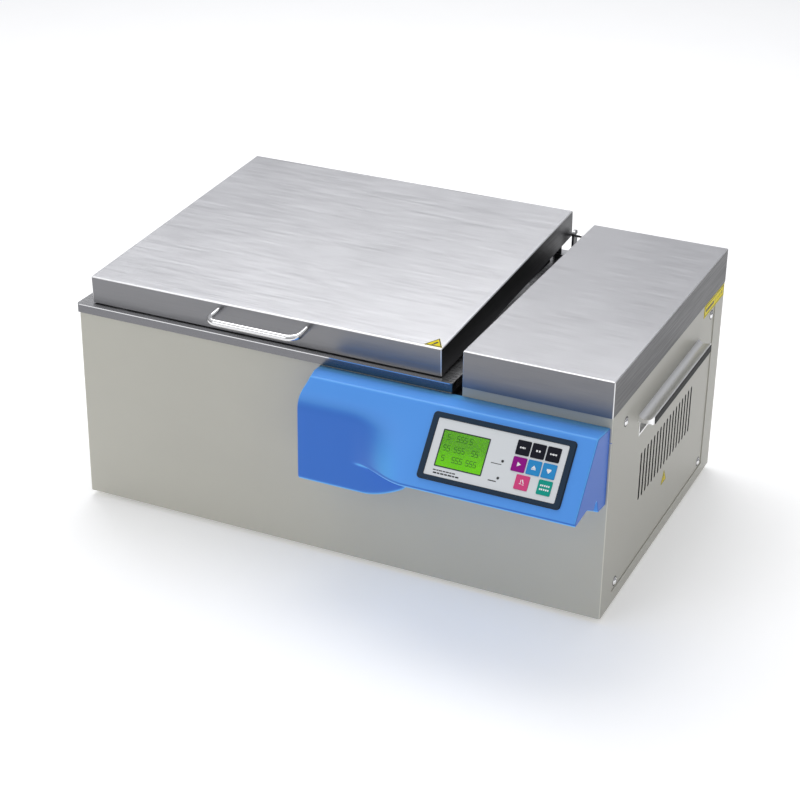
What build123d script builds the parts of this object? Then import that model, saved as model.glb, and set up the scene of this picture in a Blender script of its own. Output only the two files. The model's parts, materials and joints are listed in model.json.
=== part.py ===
from build123d import *
import os
from math import cos, radians, sin

# A heated circulating laboratory water bath, drawn as it stands on a bench.
# Drawing frame: x from the cabinet's left face, y from its front face backwards, z up from the bench.
# All sizes are millimetres. save() moves every piece to the part's own origin: the middle of its
# footprint, at bench level.

# ------------------------------------------------------------------ driving dimensions
cabinet_width = 700.0
cabinet_depth = 430.0
foot_height = 8.0
wall_top = 271.8
sheet = 1.5
seam = 0.3                       # gap left round a panel set into an opening

rim_thickness = 1.2
rim_overhang = 2.0
rim_fold = 11.5
rim_right = 506.0
tank_wall = 1.0
tank_margin_left = 28.0
tank_margin_front = 26.0
tank_length = 448.0
tank_width = 374.0
tank_depth = 198.0
tank_corner = 16.0
tank_bottom_round = 12.0

slot_width = 12.0                # open gap between the rim and the machine cover
slot_depth = 23.0
cover_height = 45.0
cover_sheet = 1.0

lid_left = 16.0
lid_front = 5.5
lid_length = 472.5
lid_depth = 426.0
lid_skirt = 35.2
lid_front_gap = 1.3              # under the front skirt
lid_tilt = 3.0
lid_sheet = 1.0
lid_filling = 22.0

hinge_from_back = 9.0
hinge_above_skirt = 5.0
hinge_pin_radius = 2.5
running_fit = 0.05
lid_open_angle = 100.0

handle_pitch = 119.0
handle_from_left = 181.5
handle_reach = 32.5
handle_radius = 4.0
handle_bend = 13.0
handle_below_top = 8.5

console_left = 335.0
console_right = 697.0
console_top = 259.5
console_wall = 3.0
ledge_reach = 39.4
ledge_rise = 4.7
slope_angle = 39.7               # of the sloping face, from vertical
slope_length = 99.0
block_fold = 31.0                # down the slope, where the left block turns vertical
block_bottom = 135.0
swoop_left = 430.0               # the lip grows out of the block from here
swoop_right = 500.0              # to here

keypad_left = 505.0
keypad_length = 170.0
keypad_height = 77.0
keypad_from_top = 9.0
bezel_width = 6.0
bezel_height = 2.0
overlay_thickness = 1.2
display_left = 522.0
display_length = 55.4
display_height = 42.0
display_from_top = 27.0
key_length = 15.9
key_height = 16.5
key_pitch = 17.7
key_row_pitch = 19.1
key_travel = 0.4
key_proud = 0.6
key_gap = 0.2
first_key_x = 617.3
first_key_down = 28.1

panel_inset = 37.0
panel_bottom = 24.0
panel_top = 254.0
panel_recess = 1.0
vent_count = 17
vent_pitch = 12.25
vent_width = 5.0
vent_bottom = 107.0
vent_top = 171.0

grip_front = 98.0
grip_length = 234.0
grip_top = 231.0
grip_reach = 18.5
grip_lip = 10.5
grip_pocket = 22.0
grip_strip = 0.8

pump_x = 548.0
pump_y = 180.0
pump_z = 100.0
pipe_radius = 8.0
pipe_bore = 6.8
return_z = 185.0

fan_x = 640.0
fan_z = 200.0
fan_size = 80.0
fan_depth = 25.0

inlet_x = 560.0
switch_x = 622.0
socket_z = 64.0

drain_x = 70.0
drain_y = 350.0
drain_z = 38.0
spigot_radius = 7.0
spigot_length = 20.0

# ------------------------------------------------------------------ sizes that follow from them
rim_top = wall_top + rim_thickness
tank_right = tank_margin_left + tank_length
tank_back = tank_margin_front + tank_width
tank_floor = rim_top - tank_depth
tank_face = tank_right + tank_wall
cover_left = rim_right + slot_width
cover_bottom = wall_top + 0.2
cover_top = cover_bottom + cover_height
bulkhead_x = rim_right - rim_thickness - 5.0
base_low = foot_height + sheet
base_high = base_low + 2.0
panel_face = cabinet_width - panel_recess
slope_sin, slope_cos = sin(radians(slope_angle)), cos(radians(slope_angle))


# ------------------------------------------------------------------ drawing helpers
def block(x0, x1, y0, y1, z0, z1):
    """A box between two corners."""
    return Pos((x0 + x1) / 2, (y0 + y1) / 2, (z0 + z1) / 2) * Box(x1 - x0, y1 - y0, z1 - z0)


def soft_block(x0, x1, y0, y1, z0, z1, radius):
    """A box whose upright edges are rounded."""
    body = block(x0, x1, y0, y1, z0, z1)
    return fillet(body.edges().filter_by(Axis.Z), radius)


TURN = {"X": (0, 90, 0), "-X": (0, -90, 0), "Y": (-90, 0, 0), "-Y": (90, 0, 0),
        "Z": (0, 0, 0), "-Z": (180, 0, 0)}


def rod(direction, start, length, radius):
    """A round bar from start along a frame axis."""
    bar = Cylinder(radius, length, align=(Align.CENTER, Align.CENTER, Align.MIN))
    return Pos(*start) * Rot(*TURN[direction]) * bar


def hexagon(direction, start, length, across_flats):
    """A hexagonal bar from start along a frame axis."""
    bar = extrude(RegularPolygon(across_flats / 2, 6, major_radius=False), length)
    return Pos(*start) * Rot(*TURN[direction]) * bar


def outline(points, radii=None):
    """A face inside straight runs, its corners rounded where radii are given."""
    edge = FilletPolyline(*points, radius=radii, close=True) if radii else Polyline(*points, close=True)
    return make_face(edge)


def along_x(face, x0, x1):
    """Carry a face drawn as (y, z) from x0 to x1."""
    return extrude(Plane.YZ.offset(x0) * face, x1 - x0)


def along_y(face, y0, y1):
    """Carry a face drawn as (x, z) from y0 to y1."""
    return extrude(Plane.XZ.offset(-y1) * face, y1 - y0)


def along_z(face, z0, z1):
    """Carry a face drawn as (x, y) from z0 to z1."""
    return extrude(Plane.XY.offset(z0) * face, z1 - z0)


def bent_rod(points, bend, radius):
    """A round bar along straight runs joined by arcs."""
    path = FilletPolyline(*points, radius=bend)
    return sweep(Plane(path @ 0, z_dir=path % 0) * Circle(radius), path)


def bent_pipe(points, bend):
    """A water pipe along straight runs joined by arcs."""
    return bent_rod(points, bend, pipe_radius) - bent_rod(points, bend, pipe_bore)


def pan_screw(direction, seat, head_radius, head_height, shank_radius, shank_length):
    """A domed screw: its head stands out along direction from the seat, its shank goes back."""
    dome_radius = (head_radius ** 2 + head_height ** 2) / (2 * head_height)
    dome = Pos(0, 0, head_height - dome_radius) * Sphere(dome_radius)
    up = (Align.CENTER, Align.CENTER, Align.MIN)
    head = Cylinder(head_radius, head_height, align=up) & dome
    driver_slot = Pos(0, 0, 0.55 * head_height) * Box(3 * head_radius, head_radius / 3, head_height, align=up)
    shank = Cylinder(shank_radius, shank_length, align=(Align.CENTER, Align.CENTER, Align.MAX))
    return Pos(*seat) * Rot(*TURN[direction]) * (head - driver_slot + shank)


# ------------------------------------------------------------------ places that several pieces share
panel_front, panel_back = panel_inset, cabinet_depth - panel_inset
screw_in_y, screw_in_z = 13.0, 9.0
side_screw_seats = [(y, z) for y in (panel_front + screw_in_y, panel_back - screw_in_y)
                    for z in (panel_bottom + screw_in_z, panel_top - screw_in_z)]

rear_open = (524.0, 690.0, 24.0, 256.0)      # x0, x1, z0, z1 of the opening behind the machine bay
rear_lap = 8.0
rear_screw_seats = [(x, z) for x in (rear_open[0] - rear_lap / 2, rear_open[1] + rear_lap / 2)
                    for z in (rear_open[2] - rear_lap / 2, rear_open[3] + rear_lap / 2)]
fan_screw_seats = [(fan_x + i * 35.0, fan_z + k * 35.0) for i in (-1, 1) for k in (-1, 1)]
screw_radius = 2.0
screw_hole = screw_radius + running_fit

foot_inset = 45.0
foot_places = [(x, y) for x in (foot_inset, cabinet_width - foot_inset)
               for y in (foot_inset, cabinet_depth - foot_inset)]
foot_screw_radius = 2.5
foot_recess = 4.0

heater_z = tank_floor + 15.0
heater_radius = 4.5
heater_ends = (120.0, 300.0)
probe_y, probe_z, probe_radius = 340.0, tank_floor + 23.0, 3.0
bushing_radius = 8.0
bushings = [(heater_ends[0], heater_z, heater_radius), (heater_ends[1], heater_z, heater_radius),
            (probe_y, probe_z, probe_radius)]
bushing_flats = 20.0
outlet_y = pump_y + 20.0
outlet_x = pump_x + 14.0
pipe_holes = [(pump_y, pump_z), (outlet_y, return_z)]

console_screw_seats = [(console_left + 6.0, 152.0), (console_left + 6.0, 240.0),
                       (console_right - 6.0, 188.0), (console_right - 6.0, 245.0)]
wire_hole = (600.0, 205.0, 12.0)

lid_frame = Pos(lid_left, lid_front, rim_top + lid_front_gap + lid_skirt) * Rot(lid_tilt, 0, 0)
hinge_y, hinge_down = lid_depth - hinge_from_back, lid_skirt - hinge_above_skirt
hinge_point = (lid_frame * Pos(0, hinge_y, -hinge_down)).position

ledge_thick = 9.0
pocket_top, pocket_low = grip_top - ledge_thick, grip_top - 28.0
pocket_wall = 2.5
pocket_ends = (grip_front + 8.0, grip_front + grip_length - 8.0)


# ------------------------------------------------------------------ cabinet
def grip_opening(x0, x1):
    """The opening that a side grip's finger pocket goes through."""
    return block(x0, x1, pocket_ends[0] - pocket_wall - seam, pocket_ends[1] + pocket_wall + seam,
                 pocket_low - pocket_wall - seam, pocket_top + seam)


def cabinet_shell():
    """Front, back and side walls in one painted sheet, with a flange below and a seat for the side panel."""
    walls = soft_block(0, cabinet_width, 0, cabinet_depth, foot_height, wall_top, 2.0)
    walls -= block(sheet, cabinet_width - sheet, sheet, cabinet_depth - sheet, base_low, wall_top)
    flange = 14.0
    walls -= block(flange, cabinet_width - flange, flange, cabinet_depth - flange, foot_height, base_low)
    walls -= block(cabinet_width - sheet, cabinet_width, panel_front, panel_back, panel_bottom, panel_top)
    seat_x, lap = panel_face - sheet, 6.0
    seat = block(seat_x - sheet, cabinet_width - sheet, panel_front - lap, panel_back + lap,
                 panel_bottom - lap, panel_top + lap)
    seat -= block(seat_x, cabinet_width - sheet, panel_front, panel_back, panel_bottom, panel_top)
    window = 20.0
    seat -= block(seat_x - sheet, seat_x, panel_front + window, panel_back - window,
                  panel_bottom + window, panel_top - window)
    walls += seat
    for y, z in side_screw_seats:
        walls -= rod("X", (seat_x - sheet, y, z), sheet, screw_hole)
    walls -= block(rear_open[0], rear_open[1], cabinet_depth - sheet, cabinet_depth,
                   rear_open[2], rear_open[3])
    for x, z in rear_screw_seats:
        walls -= rod("Y", (x, cabinet_depth - sheet, z), sheet, screw_hole)
    notch = (rim_right - rim_thickness - seam, cover_left)
    walls -= block(*notch, 0, cabinet_depth, rim_top - slot_depth + 6.0, wall_top)
    walls -= rod("Y", (drain_x, cabinet_depth - sheet, drain_z), sheet, pipe_radius + seam)
    walls -= rod("Y", (wire_hole[0], 0, wire_hole[1]), sheet, wire_hole[2])
    for x, z in console_screw_seats:
        walls -= rod("Y", (x, 0, z), sheet, screw_hole)
    return walls - grip_opening(0, sheet)


def base_plate():
    """The steel floor, resting on the shell's flange and carrying the feet and the pump."""
    gap = sheet + seam
    plate = block(gap, cabinet_width - gap, gap, cabinet_depth - gap, base_low, base_high)
    for x, y in foot_places:
        plate -= rod("Z", (x, y, base_low), base_high - base_low, foot_screw_radius)
    return plate


def rubber_feet():
    """Four round feet, recessed below for their screws."""
    def foot(x, y):
        body = Pos(x, y, base_low / 2) * Cone(15.0, 18.0, base_low)
        body -= rod("Z", (x, y, 0), foot_recess, 7.0)
        return body - rod("Z", (x, y, foot_recess), base_low - foot_recess, foot_screw_radius)
    return [foot(x, y) for x, y in foot_places]


def foot_screws():
    """The screws that hold the feet to the base, heads up inside the feet."""
    return [pan_screw("-Z", (x, y, foot_recess), 5.0, 2.6, foot_screw_radius, base_high - foot_recess)
            for x, y in foot_places]


def bulkhead():
    """The upright sheet between the wet side and the machine bay."""
    gap = sheet + seam
    wall = block(bulkhead_x, bulkhead_x + sheet, gap, cabinet_depth - gap, base_high, wall_top)
    for y, z in pipe_holes:
        wall -= rod("X", (bulkhead_x, y, z), sheet, pipe_radius + 1.0)
    for y, z, radius in bushings:
        wall -= rod("X", (bulkhead_x, y, z), sheet, radius + 1.0)
    return wall


def gap_seal():
    """Black rubber strip that closes the bottom of the slot beside the tank rim."""
    gap = sheet + seam
    top = rim_top - slot_depth
    return block(bulkhead_x + sheet, cover_left, gap, cabinet_depth - gap, top - 14.0, top)


def rear_panel():
    """The removable rear plate of the machine bay, with the fan grille and the mains cut-outs."""
    low_y = cabinet_depth
    panel = block(rear_open[0] - rear_lap, rear_open[1] + rear_lap, low_y, low_y + sheet,
                  rear_open[2] - rear_lap, rear_open[3] + rear_lap)
    for x, z in rear_screw_seats + fan_screw_seats:
        panel -= rod("Y", (x, low_y, z), sheet, screw_hole)
    hole_radius, ring_pitch = 3.2, 8.4
    for step in range(5):
        count = max(1, 6 * step)
        for k in range(count):
            turn = radians(360 * k / count)
            x, z = fan_x + step * ring_pitch * cos(turn), fan_z + step * ring_pitch * sin(turn)
            panel -= rod("Y", (x, low_y, z), sheet, hole_radius)
    panel -= block(inlet_x - 14.0, inlet_x + 14.0, low_y, low_y + sheet, socket_z - 10.3, socket_z + 10.3)
    return panel - block(switch_x - 6.6, switch_x + 6.6, low_y, low_y + sheet, socket_z - 9.6, socket_z + 9.6)


def side_panel():
    """The vented side panel, sunk a little into the cabinet's right wall."""
    x0 = panel_face - sheet
    panel = block(x0, panel_face, panel_front + seam, panel_back - seam,
                  panel_bottom + seam, panel_top - seam)
    for y, z in side_screw_seats:
        panel -= rod("X", (x0, y, z), sheet, screw_hole)
    first = cabinet_depth / 2 + 4.0 - vent_pitch * (vent_count - 1) / 2
    for k in range(vent_count):
        y = first + k * vent_pitch
        slot = soft_block(vent_bottom, vent_top, y - vent_width / 2, y + vent_width / 2, 0, sheet,
                          vent_width / 2.05)
        panel -= Pos(panel_face, 0, 0) * Rot(0, -90, 0) * slot
    panel -= rod("X", (x0, grip_front + 4.0, grip_top - 14.0), sheet, 1.6)
    return panel - grip_opening(x0, panel_face)


def panel_screws():
    """The domed screws of the side panel, the rear panel and the fan, all alike."""
    size = (5.0, 2.4, screw_radius)
    side = [pan_screw("X", (panel_face, y, z), *size, 2 * sheet) for y, z in side_screw_seats]
    rear = [pan_screw("Y", (x, cabinet_depth + sheet, z), *size, 2 * sheet) for x, z in rear_screw_seats]
    fan = [pan_screw("Y", (x, cabinet_depth + sheet, z), *size, sheet + 4.0) for x, z in fan_screw_seats]
    return side + rear + fan


def grip_profile():
    """Section of a grip's ledge as (out from the wall, up): dished on top, with a lip for the fingers."""
    face, edge, lip_back = grip_reach - grip_strip, grip_reach - 1.2, grip_reach - 3.0
    return make_face([
        ThreePointArc((0, 0), (grip_reach / 2, -4.5), (edge, 0)),
        Polyline((edge, 0), (face, -1.0), (face, -grip_lip), (lip_back, -grip_lip), (lip_back, -ledge_thick),
                 (0, -ledge_thick), (0, 0)),
    ])


def side_grip(face_x, out):
    """One lifting grip: the ledge outside and the finger pocket behind it; out is 1 or -1 along x."""
    back, (y0, y1) = grip_front + grip_length, pocket_ends
    ledge = Pos(face_x, 0, grip_top) * along_y(grip_profile(), grip_front, back)
    ledge &= soft_block(face_x - grip_reach, face_x + grip_reach - grip_strip, grip_front, back,
                        0, cover_top, 7.0)
    pocket = block(face_x - grip_pocket - pocket_wall, face_x, y0 - pocket_wall, y1 + pocket_wall,
                   pocket_low - pocket_wall, pocket_top)
    pocket -= block(face_x - grip_pocket, face_x, y0, y1, pocket_low, pocket_top - pocket_wall)
    ledge += pocket
    return ledge if out > 0 else mirror(ledge, Plane.YZ.offset(face_x))


def side_grips():
    """The two lifting grips: one in the side panel, one in the cabinet's left wall."""
    return [side_grip(panel_face, 1), side_grip(0.0, -1)]


def grip_strips():
    """Black soft strips on the lips of the two grips."""
    margin = 7.0
    low, high = grip_top - grip_lip, grip_top - 1.2
    ends = (grip_front + margin, grip_front + grip_length - margin)
    right = block(panel_face + grip_reach - grip_strip, panel_face + grip_reach, *ends, low, high)
    return [right, block(-grip_reach, grip_strip - grip_reach, *ends, low, high)]


def right_cover():
    """The stainless cover of the machine bay, with a tongue inside the cabinet's walls."""
    front, back = -rim_overhang, cabinet_depth + rim_overhang
    shell = block(cover_left, cabinet_width, front, back, cover_bottom, cover_top)
    shell = fillet(shell.edges().filter_by(Axis.Z) + shell.faces().sort_by(Axis.Z)[-1].edges(), 1.5)
    t = cover_sheet
    gap = sheet + seam
    shell -= block(cover_left + t, cabinet_width - t, front + t, back - t, cover_bottom + t, cover_top - t)
    inside = (cover_left + t, cabinet_width - gap - t, gap + t, cabinet_depth - gap - t)
    shell -= block(*inside, cover_bottom, cover_bottom + t)
    tongue = 10.0
    skirt = block(cover_left, cabinet_width - gap, gap, cabinet_depth - gap,
                  cover_bottom - tongue, cover_bottom)
    skirt -= block(*inside, cover_bottom - tongue, cover_bottom)
    closing = block(cover_left, cover_left + t, gap, cabinet_depth - gap,
                    rim_top - slot_depth - 10.0, cover_bottom)
    return shell + skirt + closing


# ------------------------------------------------------------------ tank
def tub(grow):
    """The tank's hollow, grown outwards by a wall."""
    body = soft_block(tank_margin_left - grow, tank_right + grow, tank_margin_front - grow, tank_back + grow,
                      tank_floor - grow, rim_top, tank_corner + grow)
    return fillet(body.faces().sort_by(Axis.Z)[0].edges(), tank_bottom_round + grow)


def tank():
    """Deep-drawn stainless tank with its folded rim."""
    left, front, back = -rim_overhang, -rim_overhang, cabinet_depth + rim_overhang
    rim = soft_block(left, rim_right, front, back, rim_top - rim_fold, rim_top, 3.0)
    rim -= block(left + rim_thickness, rim_right - rim_thickness, front + rim_thickness, back - rim_thickness,
                 rim_top - rim_fold, wall_top)
    body = rim + tub(tank_wall) - tub(0.0)
    body -= rod("Z", (drain_x, drain_y, tank_floor - 2.0), 4.0, pipe_bore)
    for y, z in pipe_holes:
        body -= rod("X", (tank_right - 2.0, y, z), 4.0, pipe_bore)
    for y, z, _ in bushings:
        body -= rod("X", (tank_right - 2.0, y, z), 4.0, bushing_radius)
    return body


def tank_insulation():
    """Five fibre boards packed round the tank: one under it, one at each end and one at each side."""
    gap, clear, channel = sheet + seam, tank_wall + seam, pipe_radius + 5.0
    end, back, top = bulkhead_x - seam, cabinet_depth - gap, wall_top - seam
    left, right, floor = tank_margin_left - clear, tank_right + clear, tank_floor - clear
    front, rear, corner_fill = tank_margin_front - clear, tank_back + clear, tank_corner / 2
    to_bulkhead = bulkhead_x - tank_right + 5.0

    cut = tub(clear)
    cut += block(0, pocket_wall + grip_pocket + 0.5, pocket_ends[0] - 6.0, pocket_ends[1] + 6.0,
                 pocket_low - 6.0, pocket_top + 4.0)
    cut += rod("Z", (drain_x, drain_y, base_high), 80.0, channel)
    cut += block(drain_x - channel, drain_x + channel, drain_y, cabinet_depth, base_high, drain_z + channel)
    for y, z in pipe_holes:
        cut += rod("X", (tank_right - 5.0, y, z), to_bulkhead, pipe_radius + 1.0)
    for y, z, _ in bushings:
        cut += rod("X", (tank_right - 5.0, y, z), to_bulkhead, 13.0)
    for x, z in console_screw_seats:
        cut += rod("Y", (x, 0, z), 6.0, 6.0)
    boards = [block(gap, end, gap, back, base_high, floor),
              block(gap, left, gap, back, floor, top),
              block(right, end, gap, back, floor, top),
              block(left, right, gap, front + corner_fill, floor, top),
              block(left, right, rear - corner_fill, back, floor, top)]
    return [board - cut for board in boards]


def heater_element():
    """One round of sheathed heating tube along the tank's floor."""
    turn_x, end_x = tank_margin_left + 52.0, bulkhead_x + 12.0
    route = [(end_x, heater_ends[0], heater_z), (turn_x, heater_ends[0], heater_z),
             (turn_x, heater_ends[1], heater_z), (end_x, heater_ends[1], heater_z)]
    return bent_rod(route, 35.0, heater_radius)


def tank_bushings():
    """Hexagonal glands that seal the heater's ends and the probe in the tank wall."""
    def gland(y, z, bore):
        body = hexagon("X", (tank_face, y, z), 8.0, bushing_flats)
        body += rod("X", (tank_right - 4.0, y, z), 5.0, bushing_radius - running_fit)
        return body - rod("X", (tank_right - 4.0, y, z), 13.0, bore)
    return [gland(*place) for place in bushings]


def temperature_probe():
    """Closed steel tube with the sensor, beside the heater."""
    start, end = tank_right - 96.0, bulkhead_x + 12.0
    return rod("X", (start, probe_y, probe_z), end - start, probe_radius)


def false_bottom():
    """Perforated shelf over the heater, on four bent legs."""
    margin, top = 4.0, tank_floor + 39.0
    x0, x1 = tank_margin_left + margin, tank_right - margin
    y0, y1 = tank_margin_front + margin, tank_back - margin
    shelf = soft_block(x0, x1, y0, y1, top - sheet, top, tank_corner)
    holes_x, holes_y, pitch, radius = 11, 9, 38.0, 7.0
    middle_x, middle_y = (x0 + x1) / 2, (y0 + y1) / 2
    for i in range(holes_x):
        for k in range(holes_y):
            x = middle_x + (i - (holes_x - 1) / 2) * pitch
            y = middle_y + (k - (holes_y - 1) / 2) * pitch
            shelf -= rod("Z", (x, y, top - sheet), sheet, radius)
    leg_in = 34.0
    for x in (x0 + leg_in, x1 - leg_in):
        for y in (y0 + leg_in, y1 - leg_in):
            shelf += rod("Z", (x, y, tank_floor), top - sheet - tank_floor, 4.0)
    return shelf


# ------------------------------------------------------------------ lid
def lid_shell():
    """Brushed steel lid: a flat top and four folded skirts."""
    shell = block(0, lid_length, 0, lid_depth, -lid_skirt, 0)
    shell = fillet(shell.edges().filter_by(Axis.Z) + shell.faces().sort_by(Axis.Z)[-1].edges(), 2.0)
    t = lid_sheet
    shell -= block(t, lid_length - t, t, lid_depth - t, -lid_skirt, -t)
    for x in (handle_from_left, handle_from_left + handle_pitch):
        shell -= rod("Y", (x, 0, -handle_below_top), t, handle_radius)
    for x in (0, lid_length - t):
        shell -= rod("X", (x, hinge_y, -hinge_down), t, hinge_pin_radius)
    return lid_frame * shell


def nut_room():
    """Hollows behind the front skirt for the handle's nuts."""
    return [block(x - 9.0, x + 9.0, lid_sheet, 12.0, -17.0, -lid_sheet)
            for x in (handle_from_left, handle_from_left + handle_pitch)]


def lid_liner():
    """Stainless pan that closes the lid's underside over its insulation."""
    t, fold = 0.8, 5.0
    x1, y1 = lid_length - lid_sheet, lid_depth - lid_sheet
    pan = block(lid_sheet, x1, lid_sheet, y1, -lid_filling - t, -lid_filling + fold)
    pan -= block(lid_sheet + t, x1 - t, lid_sheet + t, y1 - t, -lid_filling, -lid_filling + fold)
    return lid_frame * pan


def lid_insulation():
    """Insulation slab between the lid and its liner."""
    t, fold = 0.8, 5.0
    x1, y1 = lid_length - lid_sheet, lid_depth - lid_sheet
    slab = block(lid_sheet + t, x1 - t, lid_sheet + t, y1 - t, -lid_filling, -lid_filling + fold)
    slab += block(lid_sheet, x1, lid_sheet, y1, -lid_filling + fold, -lid_sheet)
    for room in nut_room():
        slab -= room
    return lid_frame * slab


def lid_handle():
    """Bow handle bent from one polished bar."""
    x0, x1, inside = handle_from_left, handle_from_left + handle_pitch, 9.0
    route = [(x0, inside, -handle_below_top), (x0, -handle_reach, -handle_below_top),
             (x1, -handle_reach, -handle_below_top), (x1, inside, -handle_below_top)]
    return lid_frame * bent_rod(route, handle_bend, handle_radius)


def handle_nuts():
    """Nuts on the handle's ends, inside the front skirt."""
    nuts = []
    for x in (handle_from_left, handle_from_left + handle_pitch):
        nut = hexagon("Y", (x, lid_sheet, -handle_below_top), 5.0, 13.0)
        nut -= rod("Y", (x, lid_sheet, -handle_below_top), 5.0, handle_radius)
        nuts.append(lid_frame * nut)
    return nuts


def lid_bumpers():
    """Two rubber blocks inside the front skirt, which the closed lid sits on."""
    low = -lid_skirt - lid_front_gap + 0.4
    return [lid_frame * block(x - 12.0, x + 12.0, lid_sheet, lid_sheet + 6.0, low, -lid_filling - 0.8)
            for x in (60.0, lid_length - 60.0)]


def hinge_pins():
    """A headed pin through each side skirt into its bracket."""
    reach = 17.0
    pins = []
    for direction, inner_x in (("X", lid_length - lid_sheet), ("-X", lid_sheet)):
        pin = rod(direction, (inner_x, hinge_y, -hinge_down), lid_sheet + reach, hinge_pin_radius)
        back = "-X" if direction == "X" else "X"
        pin += rod(back, (inner_x, hinge_y, -hinge_down), 2.0, 4.5)
        pins.append(lid_frame * pin)
    return pins


bracket_gap, bracket_sheet = 5.0, 3.0
bracket_foot_out = 12.0
stop_clearance = 0.6


def hinge_brackets():
    """Two steel brackets on the rim: a foot, an upright for the pin and a stop for the open lid."""
    y, z = hinge_point.Y, hinge_point.Z
    foot_top, tab_length = rim_top + 2.0, 11.0
    open_turn = radians(lid_open_angle)
    stop_face = y + hinge_from_back * cos(open_turn) - hinge_above_skirt * sin(open_turn) - stop_clearance
    brackets = []
    for side_x, out in ((lid_left + lid_length, 1), (lid_left, -1)):
        upright_x = sorted((side_x + out * bracket_gap, side_x + out * (bracket_gap + bracket_sheet)))
        tab_start = side_x - out * 19.0
        foot_x = sorted((side_x + out * (bracket_gap + bracket_foot_out), tab_start))
        tab_x = sorted((tab_start, tab_start + out * tab_length))
        foot = block(*foot_x, y - 12.0, y + 7.0, rim_top, foot_top)
        upright = block(*upright_x, y - 7.0, y + 6.5, rim_top, z + 7.0)
        upright = fillet(upright.edges().filter_by(Axis.X).sort_by(Axis.Z)[-2:], 5.0)
        tab = block(*tab_x, stop_face - 2.0, stop_face, rim_top, z - hinge_above_skirt - 1.0)
        bore = rod("X", (upright_x[0], y, z), bracket_sheet, hinge_pin_radius + running_fit)
        brackets.append(foot + upright + tab - bore)
    return brackets


def lid_label():
    """Triangular hot-surface plate near the lid's front right corner."""
    place = (lid_length - 12.5, 10.5)
    return lid_frame * Pos(*place, 0) * Rot(0, 0, 90) * extrude(RegularPolygon(13.0, 3), 0.4)


def side_labels():
    """Triangular plate under the vents and long plate at the wall's upper rear corner."""
    turned = Rot(0, 0, 90) * RegularPolygon(11.0, 3)
    triangle = extrude(Plane.YZ.offset(panel_face) * (Pos(cabinet_depth / 2 + 8.0, 86.0) * turned), 0.4)
    strip = block(cabinet_width, cabinet_width + 0.4, cabinet_depth - 88.0, cabinet_depth - 4.0,
                  panel_top + 0.8, wall_top - 0.8)
    return [triangle, strip]


# ------------------------------------------------------------------ console
face_plane = Plane(origin=(0, -ledge_reach, console_top + ledge_rise), x_dir=(1, 0, 0),
                   z_dir=(0, -slope_cos, slope_sin))


def face_block(x0, x1, down0, down1, low, high):
    """A box on the sloping face: x across, distance down the slope, height off the face."""
    return face_plane.location * block(x0, x1, -down1, -down0, low, high)


def face_rod(x, down, low, high, radius):
    """A round peg standing on the sloping face."""
    return face_plane.location * rod("Z", (x, -down, low), high - low, radius)


def slope_point(down):
    """(y, z) of a point down the sloping face."""
    return (-ledge_reach - down * slope_sin, console_top + ledge_rise - down * slope_cos)


lip_y, lip_z = slope_point(slope_length)
fold_y, fold_z = slope_point(block_fold)
under_z = lip_z - 4.5
lobe_back_z = console_top - 99.5


def lip_face():
    """Section of the console's right part as (y, z): ledge, slope, lip and curled underside."""
    points = [(0, console_top), (-ledge_reach, console_top + ledge_rise), (lip_y, lip_z),
              (lip_y + 3.0, under_z), (fold_y - 4.0, under_z), (-20.0, lobe_back_z + 4.0), (0, lobe_back_z)]
    return outline(points, [0, 3.0, 2.0, 1.5, 6.0, 8.0, 0])


def block_face():
    """Section of the console's left block as (y, z)."""
    points = [(0, console_top), (-ledge_reach, console_top + ledge_rise), (fold_y, fold_z),
              (fold_y, block_bottom), (0, block_bottom)]
    return outline(points, [0, 3.0, 6.0, 6.0, 0])


def swoop(inset):
    """Room in front of the left block, seen from above, up to the curve where the lip grows out."""
    near_y, out_y = fold_y + inset, lip_y - 10.0
    start, end = (swoop_left + inset, near_y), (swoop_right + inset, out_y)
    curve = Bezier(start, (start[0] + 35.0, near_y), (end[0] - 30.0, out_y), end)
    far = console_left - 20.0
    face = make_face([curve, Polyline(end, (far, out_y), (far, near_y), start)])
    return along_z(face, block_bottom - 20.0, fold_z + 20.0)


def block_corner():
    """Room below and right of the left block, seen from the front."""
    start, end = (swoop_left, block_bottom), (swoop_right, block_bottom + 34.0)
    curve = Bezier(start, (swoop_left + 32.0, block_bottom), (swoop_right - 30.0, block_bottom + 34.0), end)
    low = block_bottom - 20.0
    face = make_face([curve, Polyline(end, (swoop_right, low), (swoop_left, low), start)])
    return along_y(face, fold_y - 5.0, 1.0)


def console_solid():
    """The console's outside, filled."""
    part_lip = along_x(lip_face(), console_left, console_right) - swoop(0.0)
    part_block = along_x(block_face(), console_left, swoop_right - 5.0) - block_corner()
    return part_lip + part_block


def console_hollow():
    """The room inside the console's wall, open at the back."""
    w = console_wall
    x0, x1 = console_left + w, console_right - w
    lip_room = along_x(offset(lip_face(), -w), x0, x1) - swoop(w)
    lip_room += block(x0, x1, -2 * w, 0, lobe_back_z + w + 2.0, console_top - w)
    block_room = along_x(offset(block_face(), -w), x0, swoop_left)
    block_room += block(x0, swoop_left, -2 * w, 0, block_bottom + w, console_top - w)
    return lip_room + block_room


overlay = (keypad_left + bezel_width + 0.3, keypad_left + keypad_length - bezel_width - 0.3,
           keypad_from_top + 4.8 + 0.4, keypad_from_top + keypad_height - 4.8 + 0.4)
board = (overlay[0] - 2.0, overlay[1] + 2.0, overlay[2] - 2.0, overlay[3] + 2.0)
board_top = -5.9
switch_top = board_top + 1.3
board_posts = [(x, down) for x in (board[0] + 2.5, board[1] - 2.5)
               for down in (board[2] + 2.5, board[3] - 2.5)]


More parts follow.
